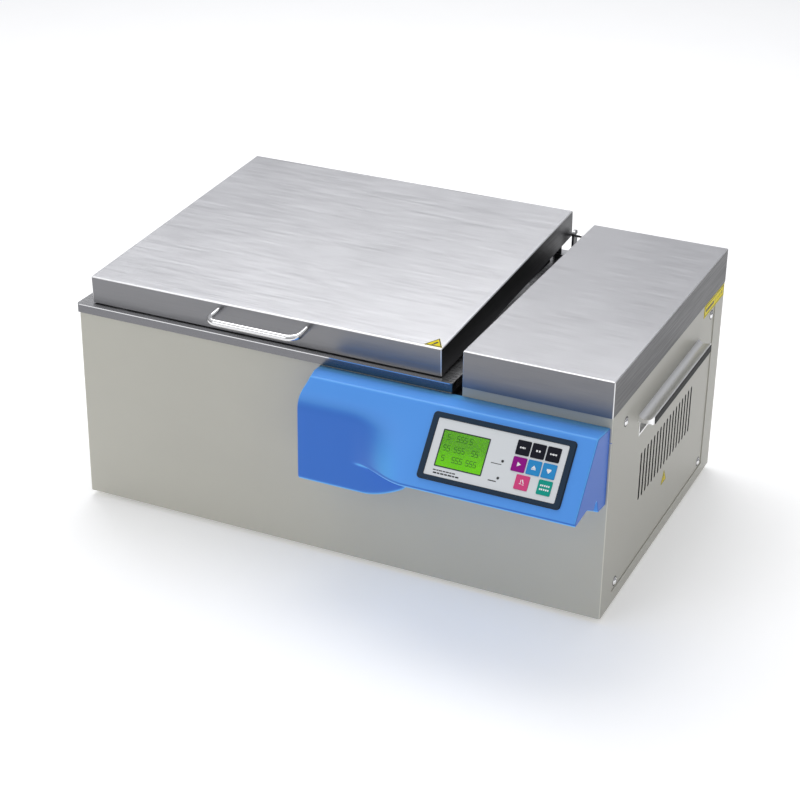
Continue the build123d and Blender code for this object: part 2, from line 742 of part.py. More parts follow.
def console_housing():
    """Moulded blue housing, with the keypad's opening, board posts and screw bosses."""
    shell = console_solid() - console_hollow()
    ledge = 5.0
    shell -= face_block(overlay[0] + ledge, overlay[1] - ledge, overlay[2] + ledge, overlay[3] - ledge,
                        -2 * console_wall, 1.0)
    for x, down in board_posts:
        shell += face_rod(x, down, board_top, -console_wall + 0.5, 2.2)
    boss = 14.0
    for x, z in console_screw_seats:
        shell += rod("-Y", (x, 0, z), boss, 5.0)
        shell -= rod("-Y", (x, 0, z), boss - 3.0, screw_radius)
    return shell


def console_screws():
    """Screws from inside the cabinet into the console's bosses."""
    return [pan_screw("Y", (x, sheet, z), 4.5, 2.4, screw_radius, sheet + 9.0)
            for x, z in console_screw_seats]


def keypad_bezel():
    """Dark frame round the keypad."""
    x0, x1 = keypad_left, keypad_left + keypad_length
    down0, down1 = keypad_from_top, keypad_from_top + keypad_height
    frame = block(x0, x1, -down1, -down0, 0, bezel_height)
    frame = fillet(frame.edges().filter_by(Axis.Z), 4.0)
    opening = block(overlay[0], overlay[1], -overlay[3], -overlay[2], 0, bezel_height)
    frame -= fillet(opening.edges().filter_by(Axis.Z), 2.0)
    return face_plane.location * frame


KEYS = {"key_menu": (0, 0), "key_program": (1, 0), "key_function": (2, 0),
        "key_start": (0, 1), "key_up": (1, 1), "key_down": (2, 1),
        "key_stop": (0.5, 2), "key_set": (2, 2)}
led_places = [(598.0, 47.7), (598.0, 67.3)]
led_radius = 1.5


def key_place(name):
    """Middle of a key as (x, distance down the slope)."""
    column, row = KEYS[name]
    return first_key_x + column * key_pitch, first_key_down + row * key_row_pitch


def key_plate(name, grow, low, high):
    """A key-sized plate, grown all round."""
    x, down = key_place(name)
    half_x, half_y = key_length / 2 + grow, key_height / 2 + grow
    plate = soft_block(x - half_x, x + half_x, -down - half_y, -down + half_y, low, high, 1.2)
    return face_plane.location * plate


def keypad_overlay():
    """White front sheet with windows for the display, the keys and the two lamps."""
    top = overlay_thickness
    face = block(overlay[0], overlay[1], -overlay[3], -overlay[2], 0, top)
    sheet_plate = face_plane.location * fillet(face.edges().filter_by(Axis.Z), 2.0)
    sheet_plate -= face_block(display_left - 0.1, display_left + display_length + 0.1, display_from_top - 0.1,
                              display_from_top + display_height + 0.1, 0, top)
    for name in KEYS:
        sheet_plate -= key_plate(name, key_gap, 0, top)
    for x, down in led_places:
        sheet_plate -= face_rod(x, down, 0, top, led_radius + 0.1)
    return sheet_plate


def key(name):
    """One key: cap, retaining flange and plunger."""
    flange_low, flange_high = -1.4, -0.1
    x, down = key_place(name)
    cap = key_plate(name, 0.0, flange_high, overlay_thickness + key_proud)
    flange = key_plate(name, 0.6, flange_low, flange_high)
    return cap + flange + face_rod(x, down, switch_top + key_travel + 0.1, flange_low, 2.5)


def display_module():
    """Display with its frame, on the control board."""
    edge = 2.0
    return face_block(display_left - edge, display_left + display_length + edge, display_from_top - edge,
                      display_from_top + display_height + edge, board_top, 0)


def display_window():
    """Clear window over the display."""
    return face_block(display_left, display_left + display_length, display_from_top,
                      display_from_top + display_height, 0, overlay_thickness - 0.2)


def indicator_lamps():
    """Two small lamps beside the keys."""
    return [face_rod(x, down, board_top, overlay_thickness + 0.2, led_radius) for x, down in led_places]


def control_board():
    """Circuit board under the keypad, with a tactile switch below each key."""
    body = face_block(board[0], board[1], board[2], board[3], board_top - 1.6, board_top)
    for name in KEYS:
        x, down = key_place(name)
        body += face_rod(x, down, board_top, switch_top, 3.0)
    return body


# ------------------------------------------------------------------ machine bay
rotor_x = pump_x + 7.0
cavity_x0, cavity_x1 = pump_x + 4.0, pump_x + 24.0
volute_back = pump_x + 28.0
plate_back = volute_back + 3.0
shaft_radius = 4.0


def pump_volute():
    """Pump housing with its inlet towards the tank and its outlet upwards."""
    body = rod("X", (pump_x, pump_y, pump_z), volute_back - pump_x, 34.0)
    body += rod("-X", (pump_x, pump_y, pump_z), 10.0, 10.5)
    body += rod("Z", (outlet_x, outlet_y, pump_z), 45.0, 10.5)
    body -= rod("X", (cavity_x0, pump_y, pump_z), cavity_x1 - cavity_x0, 28.0)
    body -= rod("X", (pump_x - 10.0, pump_y, pump_z), 20.0, pipe_bore)
    body -= rod("Z", (outlet_x, outlet_y, pump_z + 5.0), 40.0, pipe_bore)
    return body - rod("X", (cavity_x1, pump_y, pump_z), 10.0, shaft_radius + running_fit)


def pump_rotor():
    """Impeller and motor shaft."""
    rotor = rod("X", (rotor_x, pump_y, pump_z), 11.0, 6.5)
    rotor += rod("X", (rotor_x + 8.0, pump_y, pump_z), 3.0, 24.0)
    rotor += rod("X", (rotor_x + 8.0, pump_y, pump_z), 76.0, shaft_radius)
    for k in range(6):
        vane = Pos(0, 14.5, 0) * Box(8.0, 17.0, 2.0)
        rotor += Pos(rotor_x + 4.0, pump_y, pump_z) * Rot(60 * k, 0, 0) * vane
    return rotor


def pump_motor():
    """Pump motor with its terminal box."""
    length = 81.0
    body = rod("X", (plate_back, pump_y, pump_z), length, 35.0)
    body += block(plate_back + 20.0, plate_back + 60.0, pump_y - 15.0, pump_y + 15.0,
                  pump_z + 30.0, pump_z + 46.0)
    return body - rod("X", (plate_back, pump_y, pump_z), 64.0, shaft_radius + running_fit)


def pump_bracket():
    """Bent plate between pump and motor, standing on the base."""
    half = 40.0
    body = block(volute_back, plate_back, pump_y - half, pump_y + half, base_high, pump_z + half)
    body += block(volute_back, volute_back + 64.0, pump_y - half, pump_y + half, base_high, base_high + 3.0)
    return body - rod("X", (volute_back, pump_y, pump_z), 3.0, shaft_radius + 2.0)


def suction_pipe():
    """Pipe from the tank wall to the pump's inlet."""
    start, length = (tank_face, pump_y, pump_z), pump_x - 10.0 - tank_face
    return rod("X", start, length, pipe_radius) - rod("X", start, length, pipe_bore)


def return_pipe():
    """Pipe from the pump's outlet up and back to the tank wall."""
    route = [(outlet_x, outlet_y, pump_z + 45.0), (outlet_x, outlet_y, return_z),
             (tank_face, outlet_y, return_z)]
    return bent_pipe(route, 25.0)


fan_front = cabinet_depth - fan_depth


def fan_frame():
    """Square fan frame on the rear panel, with struts and a fixed pin for the rotor."""
    half = fan_size / 2
    frame = block(fan_x - half, fan_x + half, fan_front, cabinet_depth, fan_z - half, fan_z + half)
    frame = fillet(frame.edges().filter_by(Axis.Y), 4.0)
    frame -= rod("Y", (fan_x, fan_front, fan_z), fan_depth, 38.0)
    for turn in (45, 135):
        frame += Pos(fan_x, fan_front + 1.25, fan_z) * Rot(0, turn, 0) * Box(78.0, 2.5, 4.0)
    frame += rod("Y", (fan_x, fan_front, fan_z), 3.0, 15.0)
    frame += rod("Y", (fan_x, fan_front, fan_z), 18.0, 2.0)
    for x, z in fan_screw_seats:
        frame -= rod("-Y", (x, cabinet_depth, z), 4.0, screw_radius)
    return frame


def fan_rotor():
    """Fan hub with seven pitched blades."""
    blades, tip, depth = 7, 36.5, 17.0
    up = (Align.CENTER, Align.CENTER, Align.MIN)
    rotor = Cylinder(17.5, depth, align=up)
    sweep_room = Cylinder(tip, depth - 1.0, align=up)
    for k in range(blades):
        blade = Rot(0, 0, 360 * k / blades) * Pos(26.5, 0, depth / 2) * Rot(38, 0, 0) * Box(22.0, 17.0, 1.6)
        rotor += blade & sweep_room
    rotor -= Cylinder(2.0 + running_fit, 15.0, align=up)
    return Pos(fan_x, fan_front + 4.0, fan_z) * Rot(-90, 0, 0) * rotor


def power_supply():
    """Power supply in a slotted case with a terminal row."""
    x0, x1, y0, y1, z0, z1 = 585.0, 682.0, 270.0, 385.0, base_high, base_high + 40.0
    case = block(x0, x1, y0, y1, z0, z1)
    slot_count = 9
    for k in range(slot_count):
        y = y0 + 22.0 + k * 9.0
        case -= block(x0 + 14.0, x1 - 14.0, y, y + 4.0, z1 - 1.5, z1)
    case -= block(x0, x1, y1 - 16.0, y1, z0 + 22.0, z1)
    return case + block(x0 + 12.0, x1 - 12.0, y1 - 13.0, y1 - 2.0, z0 + 22.0, z0 + 32.0)


def heater_relay():
    """Solid-state relay on a finned heat sink, on the bulkhead."""
    x0, y0, y1, z0, z1 = bulkhead_x + sheet, 348.0, 410.5, 85.0, 160.0
    fin_count, fin_pitch, fin_length, fin_width, plate, relay_margin = 8, 8.5, 22.0, 3.0, 5.0, 9.0
    body = block(x0 + fin_length, x0 + fin_length + plate, y0, y1, z0, z1)
    for k in range(fin_count):
        y = y0 + k * fin_pitch
        body += block(x0, x0 + fin_length, y, y + fin_width, z0, z1)
    relay_x = x0 + fin_length + plate
    return body + block(relay_x, relay_x + 23.0, y0 + relay_margin, y1 - relay_margin, z0 + relay_margin,
                        z1 - relay_margin)


def mains_inlet():
    """Three-pin mains inlet on the rear panel."""
    y0 = cabinet_depth + sheet
    body = block(inlet_x - 24.0, inlet_x + 24.0, y0, y0 + 2.5, socket_z - 14.0, socket_z + 14.0)
    body += block(inlet_x - 13.7, inlet_x + 13.7, y0 - 24.0, y0, socket_z - 10.0, socket_z + 10.0)
    body -= block(inlet_x - 12.0, inlet_x + 12.0, y0 - 20.0, y0 + 2.5, socket_z - 8.0, socket_z + 8.0)
    pin = block(-1.0, 1.0, y0 - 20.0, y0 - 7.0, -2.0, 2.0)
    for x, z in ((-7.0, -2.0), (7.0, -2.0), (0.0, 2.5)):
        body += Pos(inlet_x + x, 0, socket_z + z) * pin
    return body


rocker_pivot_y = cabinet_depth - 1.5
rocker_rest_turn = 8.0


def switch_frame():
    """Body of the power switch."""
    y0 = cabinet_depth + sheet
    body = block(switch_x - 8.0, switch_x + 8.0, y0, y0 + 2.0, socket_z - 11.0, socket_z + 11.0)
    body += block(switch_x - 6.5, switch_x + 6.5, y0 - 16.0, y0, socket_z - 9.5, socket_z + 9.5)
    body -= block(switch_x - 5.5, switch_x + 5.5, rocker_pivot_y - 6.0, y0 + 2.0,
                  socket_z - 8.7, socket_z + 8.7)
    return body - rod("X", (switch_x - 6.5, rocker_pivot_y, socket_z), 13.0, 1.2 + running_fit)


def switch_rocker():
    """Rocker of the power switch with its pivot pin, tipped to its off side."""
    profile = outline([(-3.0, -7.6), (-3.0, 7.6), (5.4, 7.8), (4.0, 0.0), (5.4, -7.8)])
    rocker = along_x(profile, -5.2, 5.2) + rod("X", (-6.3, 0, 0), 12.6, 1.2)
    return Pos(switch_x, rocker_pivot_y, socket_z) * Rot(rocker_rest_turn, 0, 0) * rocker


valve_y = cabinet_depth + 19.0


def drain_pipe():
    """Pipe from the tank's floor out through the rear wall."""
    route = [(drain_x, drain_y, tank_floor - tank_wall), (drain_x, drain_y, drain_z),
             (drain_x, cabinet_depth + 6.0, drain_z)]
    return bent_pipe(route, 22.0)


def drain_valve():
    """Ball valve body with its wall nut and smooth hose spigot."""
    y0, body_end = cabinet_depth + 0.3, valve_y + 13.0
    body = hexagon("Y", (drain_x, y0, drain_z), 6.0, 27.0)
    body += rod("Y", (drain_x, y0, drain_z), body_end - y0, 12.0)
    body += rod("Y", (drain_x, body_end, drain_z), spigot_length, spigot_radius)
    body += rod("Z", (drain_x, valve_y, drain_z), 15.0, 6.0)
    body -= rod("Y", (drain_x, y0, drain_z), cabinet_depth + 6.0 - y0, pipe_radius)
    body -= rod("Y", (drain_x, y0, drain_z), body_end + spigot_length - y0, 5.0)
    body -= Pos(drain_x, valve_y, drain_z) * Sphere(7.5 + running_fit)
    return body - rod("Z", (drain_x, valve_y, drain_z), 15.0, 3.0 + running_fit)


def drain_lever():
    """Ball, stem and lever of the drain valve, closed."""
    ball = Pos(drain_x, valve_y, drain_z) * Sphere(7.5)
    ball -= rod("X", (drain_x - 10.0, valve_y, drain_z), 20.0, 5.0)
    stem = rod("Z", (drain_x, valve_y, drain_z + 5.5), 13.0, 3.0)
    arm = soft_block(drain_x - 46.0, drain_x + 6.0, valve_y - 5.0, valve_y + 5.0,
                     drain_z + 15.3, drain_z + 18.5, 4.5)
    return ball + stem + arm


# ------------------------------------------------------------------ the part's origin and its files
front_most, rear_most = lip_face().bounding_box().min.X, valve_y + 13.0 + spigot_length
left_most, right_most = -grip_reach, panel_face + grip_reach
origin = ((left_most + right_most) / 2, (front_most + rear_most) / 2)


def save(name, pieces):
    """Write one node: one solid, or a group of separate solids."""
    shape = Compound(pieces) if isinstance(pieces, list) else pieces
    export_step(Pos(-origin[0], -origin[1], 0) * shape, f"parts/{name}.step")


NODES = [
    cabinet_shell, base_plate, rubber_feet, foot_screws, bulkhead, gap_seal, rear_panel, side_panel,
    panel_screws, side_grips, grip_strips, right_cover,
    tank, tank_insulation, heater_element, tank_bushings, temperature_probe, false_bottom,
    lid_shell, lid_liner, lid_insulation, lid_handle, handle_nuts, lid_bumpers, hinge_pins, hinge_brackets,
    lid_label, side_labels,
    console_housing, console_screws, keypad_bezel, keypad_overlay, display_module, display_window,
    indicator_lamps, control_board,
    pump_volute, pump_rotor, pump_motor, pump_bracket, suction_pipe, return_pipe, fan_frame, fan_rotor,
    power_supply, heater_relay, mains_inlet, switch_frame, switch_rocker,
    drain_pipe, drain_valve, drain_lever,
]

if __name__ == "__main__":
    os.makedirs("parts", exist_ok=True)
    for make in NODES:
        save(make.__name__, make())
    for key_name in KEYS:
        save(key_name, key(key_name))
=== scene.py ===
# %% [markdown]
# # A laboratory water bath
# The hard parts of this model were drawn as solids and packed into a frame. This notebook loads that frame
# and gives every solid its finish. It replaces only the moulded console, whose shape is softer than a solid
# modeller likes, and adds what is too fine to be drawn as a solid: printed lines, marks and borders, and thin
# plates for painted highlights and painted shade.

# %% Load the frame
import json
from math import cos, pi, radians, sin

import bpy
import numpy as np
from mathutils import Matrix, Vector


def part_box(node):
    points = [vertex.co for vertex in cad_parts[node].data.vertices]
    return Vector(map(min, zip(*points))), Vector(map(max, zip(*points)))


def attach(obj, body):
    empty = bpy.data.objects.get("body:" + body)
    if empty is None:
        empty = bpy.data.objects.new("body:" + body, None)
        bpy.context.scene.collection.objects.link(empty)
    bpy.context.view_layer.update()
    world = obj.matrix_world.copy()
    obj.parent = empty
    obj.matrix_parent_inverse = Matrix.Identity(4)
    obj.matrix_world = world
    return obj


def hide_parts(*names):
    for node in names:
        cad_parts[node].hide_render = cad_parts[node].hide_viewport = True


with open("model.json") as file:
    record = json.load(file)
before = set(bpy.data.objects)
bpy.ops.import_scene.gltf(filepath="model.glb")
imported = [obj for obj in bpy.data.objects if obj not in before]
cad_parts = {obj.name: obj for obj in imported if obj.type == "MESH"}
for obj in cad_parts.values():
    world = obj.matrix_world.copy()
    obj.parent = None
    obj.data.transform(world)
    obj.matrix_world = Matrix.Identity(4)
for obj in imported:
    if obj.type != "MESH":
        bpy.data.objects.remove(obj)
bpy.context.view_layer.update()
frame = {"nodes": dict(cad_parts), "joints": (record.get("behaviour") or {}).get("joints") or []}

nodes = frame["nodes"]

# %% [markdown]
# ## Where things are
# Positions are read from the frame. The cabinet's front left corner at bench level is the handiest place to
# measure from, so `place` turns millimetres counted from that corner into metres in the frame. The console's
# sloping face has its own two directions, which the way the keys are pressed gives.

# %% A millimetre ruler on the cabinet
shell_low, shell_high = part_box("cabinet_shell")
corner = np.array([shell_low.x, shell_low.y, 0.0])
cabinet_width, cabinet_depth = (1000 * (shell_high - shell_low)).x, (1000 * (shell_high - shell_low)).y


def place(x, y, z):
    """Metres in the frame for millimetres from the cabinet's front left corner, as an (..., 3) array."""
    x, y, z = np.broadcast_arrays(x, y, z)
    return np.stack([x, y, z], axis=-1) / 1000.0 + corner


press = next(joint for joint in frame["joints"] if joint["name"] == "key_set_press")
slope_cos, slope_sin = press["axis"][1], -press["axis"][2]
print("cabinet", round(cabinet_width), "x", round(cabinet_depth), "mm")

# %% [markdown]
# ## Camera and light
# The camera stands about two and a half metres away, to the right of the front and above it. A long lens
# keeps the upright edges nearly parallel. Two angles and a roll say which way it looks, and a distance and
# two shifts say where it stands, measured from the cabinet's front left corner at the height of its feet. A
# camera set that way is easier to adjust than one with a bare position.

# %% Camera
azimuth, elevation, roll = radians(24.62), radians(26.72), radians(0.84)
distance, shift_right, shift_up = 2521.03, -401.49, -115.97
foot_height, focal_length = 8.0, 87.18
away = np.array([sin(azimuth) * cos(elevation), -cos(azimuth) * cos(elevation), sin(elevation)])
level_right = np.array([cos(azimuth), sin(azimuth), 0.0])
level_up = np.cross(away, level_right)
right = cos(roll) * level_right + sin(roll) * level_up
up = -sin(roll) * level_right + cos(roll) * level_up
eye = place(*(distance * away - shift_right * right - shift_up * up + np.array([0, 0, foot_height])))

camera_data = bpy.data.cameras.new("camera")
camera_data.sensor_width = 36.0
camera_data.lens = focal_length
camera = bpy.data.objects.new("camera", camera_data)
turned = Matrix([list(v) for v in np.stack([right, up, away], axis=1)]).to_4x4()
camera.matrix_world = Matrix.Translation(Vector(eye)) @ turned
bpy.context.scene.collection.objects.link(camera)
bpy.context.scene.camera = camera
print("camera at", [round(v, 2) for v in eye])

# %% [markdown]
# Steel shows what stands round it, so the light matters as much as the metal. Three large soft panels and a
# pale floor do it: one overhead for the lid's top, one from the left front for the walls, one from the right.
# The surroundings are a quiet grey gradient, darker towards the horizon, which keeps the lid's skirts darker
# than its top.

# %% Light
scene = bpy.context.scene
scene.view_settings.view_transform = "Standard"
world = bpy.data.worlds.new("studio")
scene.world = world
world.use_nodes = True
sky = world.node_tree
sky.nodes.clear()
sky_out = sky.nodes.new("ShaderNodeOutputWorld")
sky_mix = sky.nodes.new("ShaderNodeMixShader")
seen, lit = sky.nodes.new("ShaderNodeBackground"), sky.nodes.new("ShaderNodeBackground")
seen.inputs["Color"].default_value = (1, 1, 1, 1)
sky_ray = sky.nodes.new("ShaderNodeLightPath")
sky_direction = sky.nodes.new("ShaderNodeTexCoord")
sky_height = sky.nodes.new("ShaderNodeSeparateXYZ")
sky_ramp = sky.nodes.new("ShaderNodeValToRGB")
sky_stops = ((0.0, (0.16, 0.16, 0.17)), (0.75, (0.86, 0.87, 0.9)))
for stop, (position, tone) in zip(sky_ramp.color_ramp.elements, sky_stops):
    stop.position, stop.color = position, (*tone, 1.0)
sky.links.new(sky_direction.outputs["Generated"], sky_height.inputs[0])
sky.links.new(sky_height.outputs["Z"], sky_ramp.inputs["Fac"])
sky.links.new(sky_ramp.outputs["Color"], lit.inputs["Color"])
lit.inputs["Strength"].default_value = 0.72
sky.links.new(sky_ray.outputs["Is Camera Ray"], sky_mix.inputs["Fac"])
sky.links.new(lit.outputs[0], sky_mix.inputs[1])
sky.links.new(seen.outputs[0], sky_mix.inputs[2])
sky.links.new(sky_mix.outputs[0], sky_out.inputs["Surface"])


def soft_panel(name, direction, away_m, size_m, watts):
    """A square area light that stands away_m from the bath along a direction and faces it."""
    data = bpy.data.lights.new(name, "AREA")
    data.energy, data.size = watts, size_m
    lamp = bpy.data.objects.new(name, data)
    direction = Vector(direction).normalized()
    facing = direction.to_track_quat("Z", "Y").to_matrix().to_4x4()
    lamp.matrix_world = Matrix.Translation(direction * away_m) @ facing
    scene.collection.objects.link(lamp)


soft_panel("overhead_light", (-0.25, 0.35, 1.0), 2.6, 1.9, 33.0)
soft_panel("front_light", (-0.55, -1.0, 0.55), 2.8, 1.5, 9.0)
soft_panel("right_light", (1.0, -0.25, 0.45), 2.8, 1.3, 3.0)
print("lights", [lamp.name for lamp in bpy.data.lights])

# %% [markdown]
# ## A small workshop of helpers
# Every finish is a Principled shader fed by a few procedural masks. These helpers keep the node code short:
# `add` makes a node and plugs its inputs, whether they are numbers or other sockets. The rest are one step of
# arithmetic, a soft step, a blend of two colours, and the two halves of a group: making it and placing it.

# %% Node helpers


def add(tree, kind, inputs=None, **settings):
    """A node of that kind, with its settings made and its inputs given numbers or linked to sockets."""
    node = tree.nodes.new(kind)
    for key, value in settings.items():
        setattr(node, key, value)
    for key, value in (inputs or {}).items():
        if isinstance(value, bpy.types.NodeSocket):
            tree.links.new(value, node.inputs[key])
        else:
            node.inputs[key].default_value = value
    return node


def maths(tree, operation, first, second=0.0, third=0.0, clamp=False):
    """One step of arithmetic; the result is its output socket."""
    node = add(tree, "ShaderNodeMath", {0: first, 1: second, 2: third}, operation=operation, use_clamp=clamp)
    return node.outputs[0]


def between(tree, value, low, high):
    """0 below low, 1 above high and a smooth step between."""
    node = add(tree, "ShaderNodeMapRange", {"Value": value, "From Min": low, "From Max": high},
               interpolation_type="SMOOTHSTEP")
    return node.outputs["Result"]


def mix(tree, mask, first, second):
    """A colour between first and second."""
    node = add(tree, "ShaderNodeMix", {"Factor": mask}, data_type="RGBA")
    for index, value in ((6, first), (7, second)):
        if isinstance(value, bpy.types.NodeSocket):
            tree.links.new(value, node.inputs[index])
        else:
            node.inputs[index].default_value = (*value[:3], 1.0)
    return node.outputs[2]


def new_group(name, inputs, outputs):
    """An empty node group with named inputs (name, default) and outputs (name, kind)."""
    group = bpy.data.node_groups.new(name, "ShaderNodeTree")
    for label, default in inputs:
        item = group.interface.new_socket(label, in_out="INPUT", socket_type="NodeSocketFloat")
        item.default_value = default
    for label, kind in outputs:
        group.interface.new_socket(label, in_out="OUTPUT", socket_type=kind)
    return group, group.nodes.new("NodeGroupInput"), group.nodes.new("NodeGroupOutput")


def use(tree, group, **values):
    """That group placed in a material, with its own values."""
    node = tree.nodes.new("ShaderNodeGroup")
    node.node_tree = group
    for key, value in values.items():
        node.inputs[key.replace("_", " ")].default_value = value
    return node


# %% [markdown]
# ### Three effects that many finishes share
# **Grain**: brushed sheet has fine scratches along one direction. Noise stretched seventy times along that
# direction gives them; on faces that look sideways the scratches run front to back instead.
# ** Edge**: a rounded edge is where the surface looks in none of the frame's main directions. That gives a mask for a painted highlight: the bright line that a rounded edge shows where it catches the light.
# **Speckle**: soft clouds and fine grit, for paint, mouldings and dust.

# %% Effect groups
FLOAT = "NodeSocketFloat"


def build_grain():
    """Scratches: noise at (x / stretch, y, z), or (x, y / stretch, z) where the face looks along x."""
    group, inside, out = new_group("brushed_grain", [("Lines per metre", 2600.0), ("Stretch", 70.0)],
                                   [("Line", FLOAT), ("Cloud", FLOAT)])
    coordinates = add(group, "ShaderNodeTexCoord")
    position = add(group, "ShaderNodeSeparateXYZ", {0: coordinates.outputs["Object"]})
    normal = add(group, "ShaderNodeSeparateXYZ", {0: coordinates.outputs["Normal"]})
    sideways = between(group, maths(group, "ABSOLUTE", normal.outputs["X"]), 0.6, 0.8)
    x, y, z = (position.outputs[axis] for axis in "XYZ")
    rate = inside.outputs["Lines per metre"]
    slow = maths(group, "DIVIDE", rate, inside.outputs["Stretch"])
    fast_x, slow_x = maths(group, "MULTIPLY", x, rate), maths(group, "MULTIPLY", x, slow)
    fast_y, slow_y = maths(group, "MULTIPLY", y, rate), maths(group, "MULTIPLY", y, slow)
    fast_z = maths(group, "MULTIPLY", z, rate)
    along_x = add(group, "ShaderNodeCombineXYZ", {0: slow_x, 1: fast_y, 2: fast_z})
    along_y = add(group, "ShaderNodeCombineXYZ", {0: fast_x, 1: slow_y, 2: fast_z})
    chosen = add(group, "ShaderNodeMix", {"Factor": sideways}, data_type="VECTOR")
    group.links.new(along_x.outputs[0], chosen.inputs[4])
    group.links.new(along_y.outputs[0], chosen.inputs[5])
    lines = add(group, "ShaderNodeTexNoise", {"Vector": chosen.outputs[1], "Scale": 1.0, "Detail": 3.0,
                                              "Roughness": 0.6})
    clouds = add(group, "ShaderNodeTexNoise", {"Vector": coordinates.outputs["Object"], "Scale": 5.0,
                                               "Detail": 3.0})
    group.links.new(lines.outputs["Fac"], out.inputs["Line"])
    group.links.new(clouds.outputs["Fac"], out.inputs["Cloud"])
    return group


def build_edge_highlight():
    """A mask for a painted highlight: 1 on rounded edges and 0 on flats, one minus the largest of the
    normal's three parts, widened.
    With Slope at 1, the part along the console's sloping face counts as a flat too."""
    group, inside, out = new_group("painted_edge_highlight", [("Start", 0.012), ("Full", 0.16), ("Slope", 0.0)],
                                   [("Edge", FLOAT)])
    coordinates = add(group, "ShaderNodeTexCoord")
    normal = add(group, "ShaderNodeSeparateXYZ", {0: coordinates.outputs["Normal"]})
    parts = [maths(group, "ABSOLUTE", normal.outputs[axis]) for axis in "XYZ"]
    largest = maths(group, "MAXIMUM", maths(group, "MAXIMUM", parts[0], parts[1]), parts[2])
    off_slope = maths(group, "MULTIPLY_ADD", normal.outputs["Z"], slope_sin,
                      maths(group, "MULTIPLY", normal.outputs["Y"], -slope_cos))
    largest = maths(group, "MAXIMUM", largest, maths(group, "MULTIPLY", off_slope, inside.outputs["Slope"]))
    turned_away = maths(group, "SUBTRACT", 1.0, largest)
    step = add(group, "ShaderNodeMapRange", {"Value": turned_away, "From Min": inside.outputs["Start"],
                                             "From Max": inside.outputs["Full"]})
    group.links.new(step.outputs["Result"], out.inputs["Edge"])
    return group


def build_speckle():
    """Slow clouds and fine grit as two masks, and their sum as a height."""
    group, inside, out = new_group("speckle", [("Grit per metre", 1400.0), ("Clouds per metre", 7.0)],
                                   [("Cloud", FLOAT), ("Grit", FLOAT), ("Height", FLOAT)])
    coordinates = add(group, "ShaderNodeTexCoord")
    cloud = add(group, "ShaderNodeTexNoise", {"Vector": coordinates.outputs["Object"],
                                              "Scale": inside.outputs["Clouds per metre"], "Detail": 4.0})
    grit = add(group, "ShaderNodeTexNoise", {"Vector": coordinates.outputs["Object"],
                                             "Scale": inside.outputs["Grit per metre"], "Detail": 2.0})
    height = maths(group, "MULTIPLY_ADD", cloud.outputs["Fac"], 0.3, grit.outputs["Fac"])
    group.links.new(cloud.outputs["Fac"], out.inputs["Cloud"])
    group.links.new(grit.outputs["Fac"], out.inputs["Grit"])
    group.links.new(height, out.inputs["Height"])
    return group


grain_group, edge_highlight_group, speckle_group = build_grain(), build_edge_highlight(), build_speckle()
print("effect groups", [g.name for g in bpy.data.node_groups])

# %% [markdown]
# ### The shader itself
# Each material keeps its own Principled shader and only differs in what feeds it. `brushed` makes the metals
# and `painted` the paints and mouldings. A finish that needs another tone in one place is changed afterwards,
# with `retone` and `cover`.

# %% Material maker


def material(name, **constants):
    """A new material with one Principled shader; constants are set on its own sockets."""
    made = bpy.data.materials.new(name)
    made.use_nodes = True
    tree = made.node_tree
    tree.nodes.clear()
    shader = add(tree, "ShaderNodeBsdfPrincipled")
    add(tree, "ShaderNodeOutputMaterial", {"Surface": shader.outputs[0]})
    for key, value in constants.items():
        shader.inputs[key.replace("_", " ")].default_value = value
    return made, tree, shader


def shader_of(made):
    """The Principled shader of a finished material."""
    return next(node for node in made.node_tree.nodes if node.type == "BSDF_PRINCIPLED")


def retone(made):
    """The tree and shader of a finished material, and the parts of its position and of its normal."""
    tree = made.node_tree
    where = add(tree, "ShaderNodeTexCoord")
    spot = add(tree, "ShaderNodeSeparateXYZ", {0: where.outputs["Object"]})
    normal = add(tree, "ShaderNodeSeparateXYZ", {0: where.outputs["Normal"]})
    return tree, shader_of(made), spot.outputs, normal.outputs


def cover(tree, shader, mask, tone):
    """A tone laid over the shader's colour where the mask is 1."""
    before = shader.inputs["Base Color"].links[0].from_socket
    tree.links.new(mix(tree, mask, before, tone), shader.inputs["Base Color"])


def bump(tree, shader, height, strength, distance_m):
    """Height to the shader's Normal through a Bump node."""
    node = add(tree, "ShaderNodeBump", {"Height": height, "Strength": strength, "Distance": distance_m})
    tree.links.new(node.outputs["Normal"], shader.inputs["Normal"])


